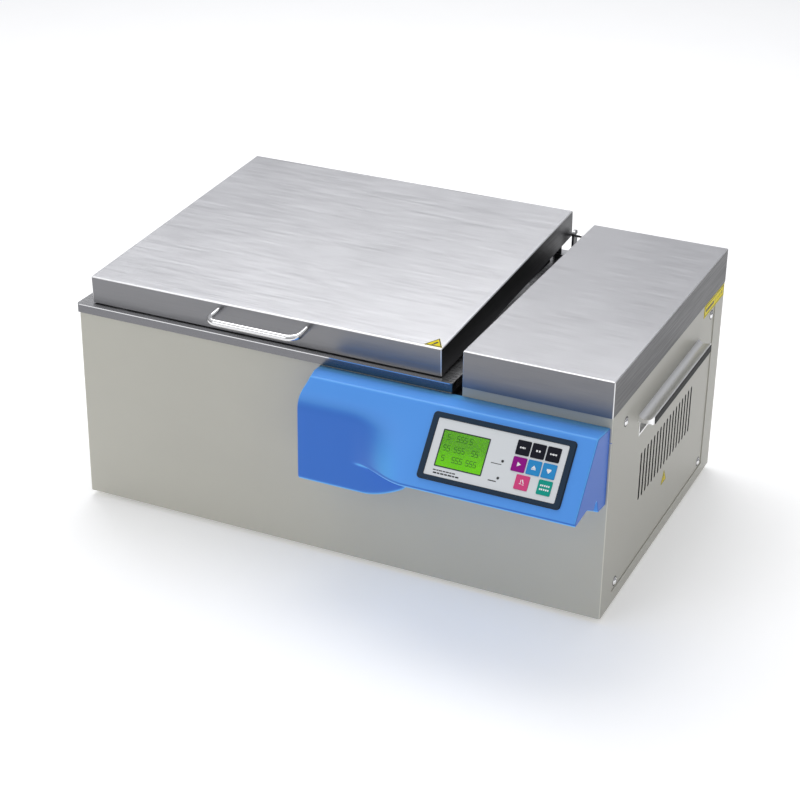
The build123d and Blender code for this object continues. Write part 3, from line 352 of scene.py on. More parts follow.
def brushed(name, light, dark, rough_low, rough_high, upright_shade_tone, edge_highlight_tone=0.9, lines=2600.0, relief=0.12,
            end_shade_tone=None):
    """Brushed sheet: scratches in colour, roughness and relief, painted shade on upright faces and on faces
    that look sideways, and a painted highlight along rounded edges.
    """
    end_shade_tone = upright_shade_tone if end_shade_tone is None else end_shade_tone
    made, tree, shader = material(name, Metallic=1.0)
    grain = use(tree, grain_group, Lines_per_metre=lines)
    edge = use(tree, edge_highlight_group)
    coordinates = add(tree, "ShaderNodeTexCoord")
    normal = add(tree, "ShaderNodeSeparateXYZ", {0: coordinates.outputs["Normal"]})
    # Painted shade: upright faces are darkened to the upright shade tone, and faces that look sideways to the
    # end shade tone.
    level = between(tree, maths(tree, "ABSOLUTE", normal.outputs["Z"]), 0.3, 0.8)
    upright = maths(tree, "SUBTRACT", 1.0, level)
    cloudy = between(tree, grain.outputs["Cloud"], 0.3, 0.7)
    tone = mix(tree, cloudy, dark, light)
    streaks = between(tree, grain.outputs["Line"], 0.25, 0.75)
    tone = mix(tree, maths(tree, "MULTIPLY", streaks, 0.45), tone, tuple(1.13 * c for c in light))
    tone = mix(tree, upright, tone, tuple(upright_shade_tone * c for c in dark))
    end_shade_mask = maths(tree, "GREATER_THAN", maths(tree, "ABSOLUTE", normal.outputs["X"]), 0.8)
    tone = mix(tree, end_shade_mask, tone, tuple(end_shade_tone * c for c in dark))
    # Painted highlight: rounded edges are lightened towards the edge highlight tone.
    tone = mix(tree, edge.outputs["Edge"], tone, (edge_highlight_tone,) * 3)
    tree.links.new(tone, shader.inputs["Base Color"])
    tree.links.new(maths(tree, "MULTIPLY_ADD", streaks, rough_high - rough_low, rough_low),
                   shader.inputs["Roughness"])
    bump(tree, shader, grain.outputs["Line"], relief, 0.0002)
    return made


def painted(name, colour, shade, rough, grit=1400.0, relief=0.12, coat=0.0, edge_highlight_tone=1.25, metallic=0.0,
            slope=0.0, gloss=0.5, upright=None, end=None):
    """Paint or moulded plastic: clouds of a second shade, fine grit, and a painted highlight as a slightly
    lighter edge line. Upright faces and faces that look sideways can be given a painted shade, a deeper tone
    in the colour."""
    made, tree, shader = material(name, Metallic=metallic, Coat_Weight=coat, Coat_Roughness=0.12,
                                  Specular_IOR_Level=gloss)
    speckle = use(tree, speckle_group, Grit_per_metre=grit)
    edge = use(tree, edge_highlight_group, Slope=slope)
    tone = mix(tree, between(tree, speckle.outputs["Cloud"], 0.3, 0.7), colour, shade)
    tone = mix(tree, maths(tree, "MULTIPLY", between(tree, speckle.outputs["Grit"], 0.55, 0.75), 0.12), tone,
               tuple(0.8 * c for c in colour))
    # Painted highlight: rounded edges are a little lighter.
    tone = mix(tree, maths(tree, "MULTIPLY", edge.outputs["Edge"], 0.6), tone,
               tuple(min(1.0, edge_highlight_tone * c) for c in colour))
    normal = add(tree, "ShaderNodeSeparateXYZ", {0: add(tree, "ShaderNodeTexCoord").outputs["Normal"]})
    # Painted shade: upright faces take the upright colour and faces that look sideways take the end colour.
    if upright:
        level = between(tree, maths(tree, "ABSOLUTE", normal.outputs["Z"]), 0.08, 0.6)
        tone = mix(tree, level, upright, tone)
    if end:
        tone = mix(tree, between(tree, maths(tree, "ABSOLUTE", normal.outputs["X"]), 0.7, 0.95), tone, end)
    tree.links.new(tone, shader.inputs["Base Color"])
    tree.links.new(maths(tree, "MULTIPLY_ADD", speckle.outputs["Grit"], 0.12, rough - 0.06),
                   shader.inputs["Roughness"])
    bump(tree, shader, speckle.outputs["Height"], relief, 0.0003)
    return made


# %% [markdown]
# ## Finishes
# The lid, the rim and the machine cover are fine-brushed stainless steel. Real brushed sheet is many fine
# scratches, so the grain goes into colour, roughness and relief together. Each metal comes from the same
# maker with its own values: a light and a dark tone, a range of roughness, and a painted shade for upright
# faces and for faces that look sideways.

# %% Sheet metals
# The steel's faces that look sideways get a near-black painted shade, and its upright faces a painted shade
# too.
steel = brushed("brushed_stainless", (0.66, 0.66, 0.68), (0.58, 0.58, 0.6), 0.3, 0.46, 0.4, 1.0, lines=1000.0,
                end_shade_tone=0.14)
tank_steel = brushed("tank_stainless", (0.6, 0.6, 0.61), (0.5, 0.5, 0.51), 0.22, 0.34, 0.9, relief=0.06)
zinc = brushed("zinc_plate", (0.52, 0.53, 0.55), (0.42, 0.43, 0.44), 0.3, 0.45, 0.9, 0.7, lines=900.0)
polished = brushed("polished_steel", (0.82, 0.82, 0.83), (0.74, 0.74, 0.75), 0.1, 0.16, 1.0, 0.9, lines=700.0,
                   relief=0.004)
dull_sheath = brushed("heater_sheath", (0.3, 0.28, 0.26), (0.2, 0.19, 0.18), 0.4, 0.55, 1.0, 0.4,
                      lines=1500.0)
alloy = brushed("sink_alloy", (0.6, 0.6, 0.6), (0.5, 0.5, 0.5), 0.35, 0.5, 0.9, 0.75, lines=1200.0)
brass = brushed("turned_brass", (0.75, 0.56, 0.28), (0.6, 0.43, 0.2), 0.22, 0.36, 0.95, 0.85, lines=3000.0)

# %% [markdown]
# The rim is one piece with the tank, but its folded edge reflects the room's darker side. That reflection is
# painted: the fold gets the painted shade of the lid's skirt by where it is and which way it looks, and the
# tank's inside keeps its own.

# %% Painted shade on the rim's fold
fold_past_y, fold_above_z, fold_painted_shade = 0.18, 0.2605, (0.2, 0.2, 0.21)
tree, shader, spot, normal = retone(tank_steel)
fold = maths(tree, "GREATER_THAN", maths(tree, "ABSOLUTE", spot["Y"]), fold_past_y)
fold = maths(tree, "MULTIPLY", fold, maths(tree, "GREATER_THAN", spot["Z"], fold_above_z))
fold = maths(tree, "MULTIPLY", fold, maths(tree, "LESS_THAN", normal["Z"], 0.3))
cover(tree, shader, fold, fold_painted_shade)
print("the rim is toned above", round(1000 * fold_above_z, 1), "mm")

# %% [markdown]
# The cabinet is sprayed a warm grey with a satin sheen and the console is a smooth blue moulding. Paint and
# plastic are never one flat colour, so a second shade drifts in slowly and a fine grit roughens both.

# %% Paint, plastic and rubber
# The end colour of the warm grey is a painted shade on the cabinet's faces that look sideways.
warm_grey = {"colour": (0.53, 0.52, 0.455), "shade": (0.51, 0.5, 0.44), "rough": 0.42, "coat": 0.15,
             "edge_highlight_tone": 1.6, "end": (0.4, 0.39, 0.34)}
cabinet_paint = painted("cabinet_paint", **warm_grey)
# The upright and end colours of the blue are painted shade on the console's upright faces and on its ends.
blue = painted("blue_moulding", (0.105, 0.37, 0.95), (0.1, 0.355, 0.93), 0.34, 2200.0, 0.03, 0.0, 1.6,
               slope=1.0, gloss=0.25, upright=(0.04, 0.178, 0.65), end=(0.022, 0.14, 0.6))
navy = painted("navy_frame", (0.016, 0.038, 0.07), (0.014, 0.033, 0.062), 0.4, 2600.0, 0.06, edge_highlight_tone=2.0,
               slope=1.0, gloss=0.2)
black = painted("black_plastic", (0.014, 0.014, 0.016), (0.02, 0.02, 0.022), 0.5, 1800.0, 0.15, edge_highlight_tone=2.0)
rubber = painted("black_rubber", (0.012, 0.012, 0.012), (0.018, 0.018, 0.018), 0.7, 900.0, 0.2, edge_highlight_tone=1.6)
enamel = painted("motor_enamel", (0.03, 0.032, 0.038), (0.04, 0.042, 0.05), 0.38, 900.0, 0.25, 0.2)
fibre = painted("fibre_blanket", (0.68, 0.6, 0.42), (0.55, 0.47, 0.3), 0.95, 420.0, 1.0)
board_green = painted("board_green", (0.015, 0.13, 0.05), (0.012, 0.1, 0.04), 0.3, 700.0, 0.2, 0.3)
overlay_white = painted("overlay_film", (0.79, 0.82, 0.84), (0.77, 0.8, 0.82), 0.4, 3000.0, 0.03, slope=1.0)
ink = painted("printed_ink", (0.012, 0.013, 0.016), (0.016, 0.017, 0.02), 0.45, 3000.0, 0.03)
white_ink = painted("white_ink", (0.85, 0.86, 0.88), (0.8, 0.81, 0.84), 0.45, 3000.0, 0.03)
yellow = painted("yellow_film", (0.84, 0.7, 0.008), (0.8, 0.65, 0.006), 0.45, 3000.0, 0.03, gloss=0.1)
print("materials", len(bpy.data.materials))

# %% [markdown]
# The display glows by itself, so its material gives off a little green light with a faint ripple from the
# backlight. The pane over it is clear plastic: full transmission, and a roughness that never quite reaches
# zero, because moulded windows are not polished lenses.

# %% Display and pane
lcd, lcd_tree, lcd_shader = material("display_light", Roughness=0.6, Emission_Strength=0.95,
                                     Specular_IOR_Level=0.0)
lcd_where = add(lcd_tree, "ShaderNodeTexCoord")
ripple = add(lcd_tree, "ShaderNodeTexNoise", {"Vector": lcd_where.outputs["Object"], "Scale": 30.0,
                                              "Detail": 1.0})
lcd_tone = mix(lcd_tree, ripple.outputs["Fac"], (0.1, 0.38, 0.001), (0.14, 0.46, 0.001))
lcd_tree.links.new(lcd_tone, lcd_shader.inputs["Base Color"])
lcd_tree.links.new(lcd_tone, lcd_shader.inputs["Emission Color"])

pane, pane_tree, pane_shader = material("clear_pane", Transmission_Weight=1.0, IOR=1.45,
                                        Specular_IOR_Level=0.05)
pane_grit = use(pane_tree, speckle_group, Grit_per_metre=900.0)
pane_tone = mix(pane_tree, pane_grit.outputs["Cloud"], (0.98, 0.99, 0.93), (0.94, 0.97, 0.88))
pane_tree.links.new(pane_tone, pane_shader.inputs["Base Color"])
pane_tree.links.new(maths(pane_tree, "MULTIPLY_ADD", pane_grit.outputs["Grit"], 0.03, 0.02),
                    pane_shader.inputs["Roughness"])

lcd_ink = painted("display_segments", (0.02, 0.14, 0.004), (0.025, 0.16, 0.005), 0.4, 3000.0, 0.02)
print("display and pane ready")

# %% [markdown]
# The keys are moulded in five colours with the same satin surface, so a loop over their tones makes them all.

# %% Key colours
key_tones = {
    "black": ((0.008, 0.009, 0.016), (0.01, 0.011, 0.02)),
    "purple": ((0.33, 0.008, 0.27), (0.3, 0.007, 0.25)),
    "sky": ((0.035, 0.31, 0.68), (0.032, 0.28, 0.64)),
    "pink": ((0.75, 0.075, 0.25), (0.7, 0.07, 0.23)),
    "teal": ((0.008, 0.36, 0.28), (0.007, 0.33, 0.26)),
}
key_finish = {name: painted("key_" + name, colour, shade, 0.42, 3000.0, 0.03, slope=1.0, gloss=0.12)
              for name, (colour, shade) in key_tones.items()}
print("key colours", list(key_finish))

# %% [markdown]
# The side panel's vents look like clean black strokes, because the bay behind them is in shade. That shade is
# painted: in the box that holds the vents, any surface that doesn't face sideways is black, and so is the
# panel's inner face.

# %% Paint with painted shade in the vent slots
vented_paint = painted("vented_paint", **warm_grey)
vent_box = (("Y", -0.09, 0.145), ("Z", 0.1, 0.178))
tree, shader, spot, normal = retone(vented_paint)
slot_wall_shade = maths(tree, "LESS_THAN", maths(tree, "ABSOLUTE", normal["X"]), 0.5)
for axis, low, high in vent_box:
    slot_wall_shade = maths(tree, "MULTIPLY", slot_wall_shade, maths(tree, "GREATER_THAN", spot[axis], low))
    slot_wall_shade = maths(tree, "MULTIPLY", slot_wall_shade, maths(tree, "LESS_THAN", spot[axis], high))
inner_face_shade = maths(tree, "LESS_THAN", normal["X"], -0.5)
cover(tree, shader, maths(tree, "MAXIMUM", slot_wall_shade, inner_face_shade), (0.004, 0.004, 0.004))
print("dark cut edges in", vent_box)

# %% [markdown]
# The lifting grips are bare pale metal with a satin surface, brighter than the lid.

# %% Grip metal
grip_metal = brushed("grip_satin", (0.9, 0.9, 0.89), (0.84, 0.84, 0.83), 0.3, 0.42, 1.0, 1.0)
print("materials", len(bpy.data.materials))

# %% [markdown]
# ## Dressing the solids
# Pieces whose shape is right keep it and only get their finish. One table says which finish each piece has.

# %% Finish for every solid
FINISHES = {
    steel: ["lid_shell", "right_cover", "hinge_brackets"],
    tank_steel: ["tank", "false_bottom", "lid_liner", "temperature_probe", "suction_pipe", "return_pipe",
                 "drain_pipe", "pump_rotor"],
    zinc: ["base_plate", "foot_screws", "bulkhead", "handle_nuts", "console_screws", "pump_bracket"],
    polished: ["lid_handle", "hinge_pins", "panel_screws", "drain_lever"],
    dull_sheath: ["heater_element"],
    alloy: ["power_supply", "heater_relay"],
    brass: ["tank_bushings", "drain_valve"],
    cabinet_paint: ["cabinet_shell", "rear_panel"],
    vented_paint: ["side_panel"],
    grip_metal: ["side_grips"],
    blue: ["console_housing"],
    navy: ["keypad_bezel"],
    black: ["pump_volute", "fan_frame", "fan_rotor", "mains_inlet", "switch_frame", "switch_rocker",
            "indicator_lamps"],
    # The gap_seal is a black strip set deep in the slot between the rim and the cover, a dark piece standing
    # for the shade in that slot.
    rubber: ["rubber_feet", "gap_seal", "grip_strips", "lid_bumpers"],
    enamel: ["pump_motor"],
    fibre: ["tank_insulation", "lid_insulation"],
    board_green: ["control_board"],
    overlay_white: ["keypad_overlay"],
    yellow: ["lid_label", "side_labels"],
    lcd: ["display_module"],
    pane: ["display_window"],
    key_finish["black"]: ["key_menu", "key_program", "key_function"],
    key_finish["purple"]: ["key_start"],
    key_finish["sky"]: ["key_up", "key_down"],
    key_finish["pink"]: ["key_stop"],
    key_finish["teal"]: ["key_set"],
}


def dress(piece, finish):
    """Puts one finish on every material slot of a piece."""
    if not piece.material_slots:
        piece.data.materials.append(finish)
    for material_slot in piece.material_slots:
        material_slot.material = finish


for finish, names in FINISHES.items():
    for name in names:
        dress(nodes[name], finish)
bare = sorted(set(nodes) - {name for names in FINISHES.values() for name in names})
print("solids dressed", len(nodes) - len(bare), "left bare", bare)

# %% [markdown]
# ## The floor
# A plain pale sheet of board, wide enough to fill the view. It gives off a little light of its own, as a
# white sweep lit from below does, so that it stays white round the bath and keeps only a soft shadow.

# %% Floor
floor_mesh = bpy.data.meshes.new("floor")
half_floor, floor_glow = 6.0, 0.24
quarters = ((-1, -1), (1, -1), (1, 1), (-1, 1))
floor_corners = [(side * half_floor, back * half_floor, 0) for side, back in quarters]
floor_mesh.from_pydata(floor_corners, [], [(0, 1, 2, 3)])
floor = bpy.data.objects.new("floor", floor_mesh)
scene.collection.objects.link(floor)
pale_board = painted("pale_board", (0.95, 0.95, 0.95), (0.94, 0.94, 0.94), 0.7, 60.0, 0.01, edge_highlight_tone=1.0)
board_shader = shader_of(pale_board)
board_shader.inputs["Emission Color"].default_value = (1, 1, 1, 1)
board_shader.inputs["Emission Strength"].default_value = floor_glow
dress(floor, pale_board)
print("floor", 2 * half_floor, "m square")

# %% [markdown]
# ## Making a mesh from numbers
# A new piece is a grid of points computed as whole arrays. `mesh_piece` puts points and faces into a mesh,
# `grid_faces` knits rows of points together, and `ring_faces` knits closed rings into one closed band.

# %% Mesh helpers


def mesh_piece(name, points, faces, finish, body, replaced=(), smooth=True):
    """A piece with those points in metres, its finish, the body it rides on and the solids it replaces."""
    mesh = bpy.data.meshes.new(name)
    mesh.from_pydata(np.asarray(points, float).reshape(-1, 3).tolist(), [], faces)
    mesh.validate()
    mesh.polygons.foreach_set("use_smooth", np.full(len(mesh.polygons), smooth))
    piece = bpy.data.objects.new(name, mesh)
    scene.collection.objects.link(piece)
    dress(piece, finish)
    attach(piece, body)
    if replaced:
        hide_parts(*replaced)
    print(name, len(mesh.vertices), "points", len(mesh.polygons), "faces")
    return piece


def grid_faces(rows, columns, kept=None):
    """Quads between neighbouring points of a rows x columns grid, only where kept is true."""
    index = np.arange(rows * columns).reshape(rows, columns)
    quads = np.stack([index[:-1, :-1], index[:-1, 1:], index[1:, 1:], index[1:, :-1]], axis=-1)
    return (quads.reshape(-1, 4) if kept is None else quads[kept]).tolist()


def ring_faces(rings, around):
    """Quads between rings of points, where the last ring joins the first."""
    index = np.arange(rings * around).reshape(rings, around)
    index = np.concatenate([index, index[:, :1]], axis=1)
    index = np.concatenate([index, index[:1]], axis=0)
    quads = np.stack([index[:-1, :-1], index[:-1, 1:], index[1:, 1:], index[1:, :-1]], axis=-1)
    return quads.reshape(-1, 4).tolist()


# %% [markdown]
# ## The console's housing
# The real housing is one blue moulding. On the left it is a block with a sloping top; on the right the slope
# runs on into an overhanging lip that carries the keypad, and between the two the lip grows out of the block
# in a soft swoop. A solid modeller can only join such shapes with hard edges. Here the cross-section is a
# rounded outline whose corners slide along smooth curves as it is carried from left to right, and the wall
# comes from a Solidify modifier.

# %% The sloping face
console_left, console_right, console_top = 335.0, 697.0, 259.5
ledge_reach, ledge_rise, slope_length, block_fold = 39.4, 4.7, 99.0, 31.0


def on_slope(x, down, height=0.0):
    """Millimetres from the cabinet's corner of a point on the sloping face: across, down it and off it."""
    y = -ledge_reach - np.asarray(down) * slope_sin - np.asarray(height) * slope_cos
    z = console_top + ledge_rise - np.asarray(down) * slope_cos + np.asarray(height) * slope_sin
    return x, y, z


_, fold_y, fold_z = on_slope(0, block_fold)
_, lip_y, lip_z = on_slope(0, slope_length)
print("the lip stands", round(-lip_y), "mm out from the wall")


def ease(x, start, end):
    """0 before start, 1 after end, with a level start and a level end between."""
    t = np.clip((np.asarray(x, float) - start) / (end - start), 0.0, 1.0)
    return t * t * (3.0 - 2.0 * t)


# %% [markdown]
# The section is the same run of corners all the way along: wall, ledge, sloping face, edge, and back under to
# the wall. Each corner is a smooth function of x, so the block turns into the lip without a seam. The front
# edge comes forward first, and the underside follows once the lip is nearly out.

# %% Cross-section of the housing
lip_begins, lip_full, under_begins, under_full = 400.0, 492.0, 468.0, 505.0
block_bottom, bottom_turns, bottom_rate, bottom_power = 135.0, 420.0, 0.0237, 1.68
peak_z, fold_begins, fold_full = 181.0, 370.0, 420.0


def housing_corners(x):
    """Corners (y, z) of the section at each x, from the wall's top round to its bottom, and their radii."""
    x = np.asarray(x, float)
    grow, behind = ease(x, lip_begins, lip_full), ease(x, under_begins, under_full)
    bottom = block_bottom + bottom_rate * np.maximum(x - bottom_turns, 0.0) ** bottom_power
    edge_y = fold_y + (lip_y - fold_y) * grow
    edge_z = peak_z + (lip_z - peak_z) * grow
    still = np.ones_like(x)

    def blended(block_value, lip_value):
        return (1.0 - behind) * block_value + behind * lip_value

    corners = [
        (0.0 * still, console_top * still),
        (-ledge_reach * still, (console_top + ledge_rise) * still),
        (fold_y * still, fold_z * still),
        (edge_y, edge_z),
        (edge_y + 3.0 * grow, edge_z - 4.5),
        (blended(fold_y, -62.8), blended(edge_z - 9.0, 186.0)),
        (blended(fold_y, -40.6), blended(0.5 * (edge_z + bottom), 173.5)),
        (blended(fold_y, -31.5), blended(bottom, 184.0)),
        (blended(-30.0, -24.0), blended(bottom, 163.0)),
        (blended(-8.0, -6.0), blended(bottom, 161.0)),
        (0.0 * still, blended(bottom, 161.0)),
    ]
    fold_radius = 14.0 + 10.0 * ease(x, fold_begins, fold_full)
    radii = [radius * still for radius in (0.0, 3.5, fold_radius, 3.0, 2.4, 4.0, 2.6, 7.0, 3.0, 2.4, 0.0)]
    return np.stack([np.stack(c, axis=-1) for c in corners], axis=1), np.stack(radii, axis=1)


def rounded_outline(corners, radii, marks, turn=7):
    """Points along outlines with rounded corners.
    A corner is the curve (1-t)^2 a + 2 t (1-t) corner + t^2 b between points a and b one radius from it;
    marks lists, for each straight stretch, the shares of its length where points stand."""
    before = np.roll(corners, 1, axis=1) - corners
    after = np.roll(corners, -1, axis=1) - corners
    reach_before, reach_after = (np.linalg.norm(v, axis=-1) + 1e-9 for v in (before, after))
    radius = np.minimum(radii, 0.45 * np.minimum(reach_before, reach_after))
    a = corners + before * (radius / reach_before)[..., None]
    b = corners + after * (radius / reach_after)[..., None]
    t = np.linspace(0.0, 1.0, turn)[None, None, :, None]
    bends = (1 - t) ** 2 * a[:, :, None] + 2 * t * (1 - t) * corners[:, :, None] + t ** 2 * b[:, :, None]
    pieces, last = [corners[:, :1]], len(marks) - 1
    for k in range(len(marks)):
        start = corners[:, 0] if k == 0 else b[:, k]
        end = corners[:, k + 1] if k == last else a[:, k + 1]
        share = np.asarray(marks[k])[None, :, None]
        pieces.append((1 - share) * start[:, None] + share * end[:, None])
        pieces.append(corners[:, -1:] if k == last else bends[:, k + 1])
    return np.concatenate(pieces, axis=1)


# %% [markdown]
# The rows stand closer together where the shape changes: through the swoop, and at both ends, where the
# outline draws in along a quarter circle so that the ends look moulded. The top left edge also leans in.

# %% Rows along the housing and the keypad's opening
end_round, end_lean, lean_reach, lean_ends = 2.0, 7.0, 18.0, 400.0
opening_x, opening_down = (516.3, 663.7), (19.2, 76.6)
quarter = np.linspace(0.0, pi / 2, 7)
end_steps = end_round * (1 - np.cos(quarter))
rows = np.unique(np.concatenate([
    console_left + end_steps, np.linspace(console_left + end_round, 390.0, 8), np.linspace(390.0, 510.0, 61),
    opening_x, np.linspace(*opening_x, 16), np.linspace(opening_x[1], console_right - end_round, 5),
    console_right - end_steps,
]).round(4))
corners, radii = housing_corners(rows)
marks = [[0.5], [0.3, 0.65, 0.9], [0.2, 0.4, 0.6, 0.8], [0.5], [0.25, 0.5, 0.75], [0.5], [0.5], [0.33, 0.66],
         [0.5], [0.5]]
outline = rounded_outline(corners, radii, marks)
inward = np.stack([np.gradient(outline[..., 1], axis=1), -np.gradient(outline[..., 0], axis=1)], axis=-1)
inward /= np.linalg.norm(inward, axis=-1, keepdims=True) + 1e-9
from_end = np.minimum(rows - console_left, console_right - rows)
inset = end_round - np.sqrt(end_round ** 2 - np.clip(end_round - from_end, 0.0, end_round) ** 2)
outline = outline - inward * inset[:, None, None]
outline[..., 0] = np.minimum(outline[..., 0], 0.0)
from_ledge = np.hypot(outline[..., 0] + ledge_reach, outline[..., 1] - console_top - ledge_rise)
leaning = (1.0 - ease(rows, console_left, lean_ends))[:, None]
across = rows[:, None] + end_lean * np.exp(-(from_ledge / lean_reach) ** 2) * leaning
housing_points = place(across, outline[..., 0], outline[..., 1])
print("housing grid", outline.shape[:2])

# %% [markdown]
# The skin is knitted from the rows, leaving out the quads where the keypad is let in, and both ends are
# closed by a flat face. A real moulding is a thin wall all round, and a Solidify modifier makes one from it.

# %% The housing as one skin with a wall
wall_m = 0.0012
row_count, column_count = outline.shape[:2]
down = (-outline[..., 0] - ledge_reach) / slope_sin
in_x = (rows[:-1] >= opening_x[0] - 0.01) & (rows[1:] <= opening_x[1] + 0.01)
on_face = np.abs(console_top + ledge_rise - down * slope_cos - outline[..., 1]) < 0.8
upper, lower = down[:-1, :-1], down[:-1, 1:]
in_down = (upper > opening_down[0] - 4.0) & (lower < opening_down[1] + 3.5) & (lower > upper)
hole = in_x[:, None] & in_down & on_face[:-1, :-1] & on_face[:-1, 1:]
print("quads left out for the keypad", int(hole.sum()))
skin_faces = grid_faces(row_count, column_count, ~hole)
last_row = np.arange(column_count) + (row_count - 1) * column_count
skin_faces += [last_row.tolist(), np.arange(column_count)[::-1].tolist()]
housing = mesh_piece("console_skin", housing_points, skin_faces, blue, "cabinet",
                     ["console_housing"])
shading = np.ones(len(housing.data.polygons), dtype=bool)
shading[-2:] = False
housing.data.polygons.foreach_set("use_smooth", shading)
wall = housing.modifiers.new("wall", "SOLIDIFY")
wall.thickness, wall.offset = wall_m, -1.0

# %% [markdown]
# ## Printed marks and thin frames
# Printing on a keypad or a plate is a thin raised film of ink. A mark is a flat outline given in millimetres
# across and down a face, and turned into a plate well under a millimetre thick. A frame is the band between
# two outlines of the same number of points. Each face has its own function, which turns across, down and
# height off the face into a place on the cabinet.

# %% Faces to print on
lid_tilt = radians(3.0)
lid_left, lid_front, lid_top = 16.0, 5.5, 309.5
panel_x = 1000 * (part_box("side_panel")[1].x - corner[0])


def on_lid(x, down, height=0.0):
    """A point on the closed lid's top: across, towards the front and off it; the lid rises to the back."""
    back = -np.asarray(down, float)
    y = lid_front + back * cos(lid_tilt) - height * sin(lid_tilt)
    z = lid_top + back * sin(lid_tilt) + height * cos(lid_tilt)
    return lid_left + np.asarray(x, float), y, z


def facing_right(wall_x):
    """A face that looks right, at that x: its points are given backwards, down and off it."""
    def face(y, down, height=0.0):
        return wall_x + height, y, -np.asarray(down, float)
    return face


def on_front(x, down, height=0.0):
    """A point on the cabinet's front: across, down and off it."""
    return x, -height, -np.asarray(down, float)


on_panel, on_side = facing_right(panel_x), facing_right(cabinet_width)
print("side panel at", round(panel_x, 1), "side wall at", round(cabinet_width, 1))

# %% Plates and bands


def printed(name, outlines, face, low, high, finish, body, slot):
    """Plates from outlines of (across, down) corners, each from low to high off a face."""
    points, faces, start = [], [], 0
    for corners_2d in outlines:
        flat = np.asarray(corners_2d, float)
        turn = np.roll(flat, -1, axis=0)
        if (flat[:, 0] * turn[:, 1] - turn[:, 0] * flat[:, 1]).sum() > 0:
            flat = flat[::-1]
        count = len(flat)
        for height in (low, high):
            points.append(place(*face(flat[:, 0], flat[:, 1], height)))
        bottom, top = np.arange(start, start + count), np.arange(start + count, start + 2 * count)
        faces += [top.tolist(), bottom[::-1].tolist()]
        faces += np.stack([bottom, np.roll(bottom, -1), np.roll(top, -1), top], axis=1).tolist()
        start += 2 * count
    mesh_piece(name, np.concatenate(points), faces, finish, body, smooth=False)


def framed(name, outer, inner, face, low, high, finish, body, slot):
    """A flat band between two outlines with the same number of points."""
    outer, inner = np.asarray(outer, float), np.asarray(inner, float)
    loops = [(outer, low), (outer, high), (inner, high), (inner, low)]
    points = np.stack([place(*face(loop[:, 0], loop[:, 1], height)) for loop, height in loops])
    mesh_piece(name, points, ring_faces(len(loops), len(outer)), finish, body, smooth=False)


def rounded_box(edges, grown, radius, steps=5):
    """Outline of a rectangle (left, right, top, foot), grown outwards, with quarter-circle corners."""
    x0, x1, d0, d1 = np.array(edges) + grown * np.array([-1.0, 1.0, -1.0, 1.0])
    angle = np.linspace(0.0, pi / 2, steps)
    corner_rows = []
    for cx, cd, start in ((x1 - radius, d0 + radius, -pi / 2), (x1 - radius, d1 - radius, 0.0),
                          (x0 + radius, d1 - radius, pi / 2), (x0 + radius, d0 + radius, pi)):
        turn = angle + start
        corner_rows.append(np.stack([cx + radius * np.cos(turn), cd + radius * np.sin(turn)], axis=1))
    return np.concatenate(corner_rows)


def box_mark(x, down, width, height):
    """A small upright rectangle with its middle at (x, down)."""
    return [(x - width / 2, down - height / 2), (x + width / 2, down - height / 2),
            (x + width / 2, down + height / 2), (x - width / 2, down + height / 2)]


def broken_line(x0, down, length, height, pattern):
    """A row of little blocks that reads as a printed line without being words."""
    edges = np.cumsum(np.asarray(pattern, float))
    edges = x0 + length * edges / edges[-1]
    starts, ends = np.concatenate([[x0], edges[1::2][:len(edges[::2]) - 1]]), edges[::2]
    return [box_mark((a + b) / 2, down, b - a, height) for a, b in zip(starts, ends)]


# %% [markdown]
# ## The keypad's lines
# The keypad sits in a navy frame. The shade in the fine gap round it is painted as a black band, the display
# has a black border, and two small lamps each have a short line beside them. Rows of little blocks stand for
# the printing.

# %% Frames and lines of the keypad
bezel_edges = (505.0, 675.0, 9.0, 86.0)
film_edges = (511.0, 669.0, 13.9, 81.9)
display_edges = (521.2, 578.2, 26.2, 69.8)
framed("keypad_shadow_gap", rounded_box(bezel_edges, 0.9, 4.6), rounded_box(bezel_edges, 0.1, 4.1), on_slope,
       -0.1, 0.7, ink, "cabinet", "navy_plastic")
framed("overlay_line", rounded_box(film_edges, 0.0, 2.0), rounded_box(film_edges, -0.8, 1.6), on_slope,
       1.15, 1.4, ink, "cabinet", "navy_plastic")
framed("display_border", rounded_box(display_edges, 0.0, 0.9), rounded_box(display_edges, -1.3, 0.6),
       on_slope, 1.15, 1.4, ink, "cabinet", "black_plastic")
word = [3, 0.6, 2, 0.5, 3.4, 0.6, 2.6, 0.5, 3, 0.6, 2.2, 0.5, 3.1]
print_lines = broken_line(521.5, 74.0, 27.0, 1.3, word) + broken_line(522.5, 77.2, 31.0, 1.7, word[::-1])
lamp_lines = [box_mark(591.5, 51.8, 12.5, 0.8), box_mark(592.0, 71.6, 9.5, 1.2)]
printed("keypad_printing", print_lines + lamp_lines, on_slope, 1.2, 1.26, ink, "cabinet", "white_overlay")

# %% [markdown]
# The display shows three rows of dark figures, made of small blocks too. Each row lists where its figures
# stand.

# %% Display segments


def figure(x, down, width=3.3, height=6.2, line=0.75):
    """One squared figure: three level bars, with an upright at the upper left and the lower right."""
    half = height / 2
    bars = [box_mark(x, down + step, width, line) for step in (-half, 0, half)]
    for side in (-1, 1):
        bars.append(box_mark(x + side * width / 2, down + side * half / 2, line, half - 1.2 * line))
    return bars


figure_rows = {34.5: (529.5, 541, 545.5, 550, 556.5), 47.0: (528, 532.5, 541, 545.5, 550, 562, 566.5),
               59.0: (529, 541.5, 546, 550.5, 558.5, 563, 567.5)}
figures = [bar for down, starts in figure_rows.items() for x in starts for bar in figure(x, down)]
printed("display_figures", figures, on_slope, 1.0, 1.04, lcd_ink, "cabinet", "display_green")

# %% [markdown]
# ## Marks on the keys
# Plain arrows, bars and blocks stand on the keys. Each mark rides on its own key, so it moves when the key is
# pressed.

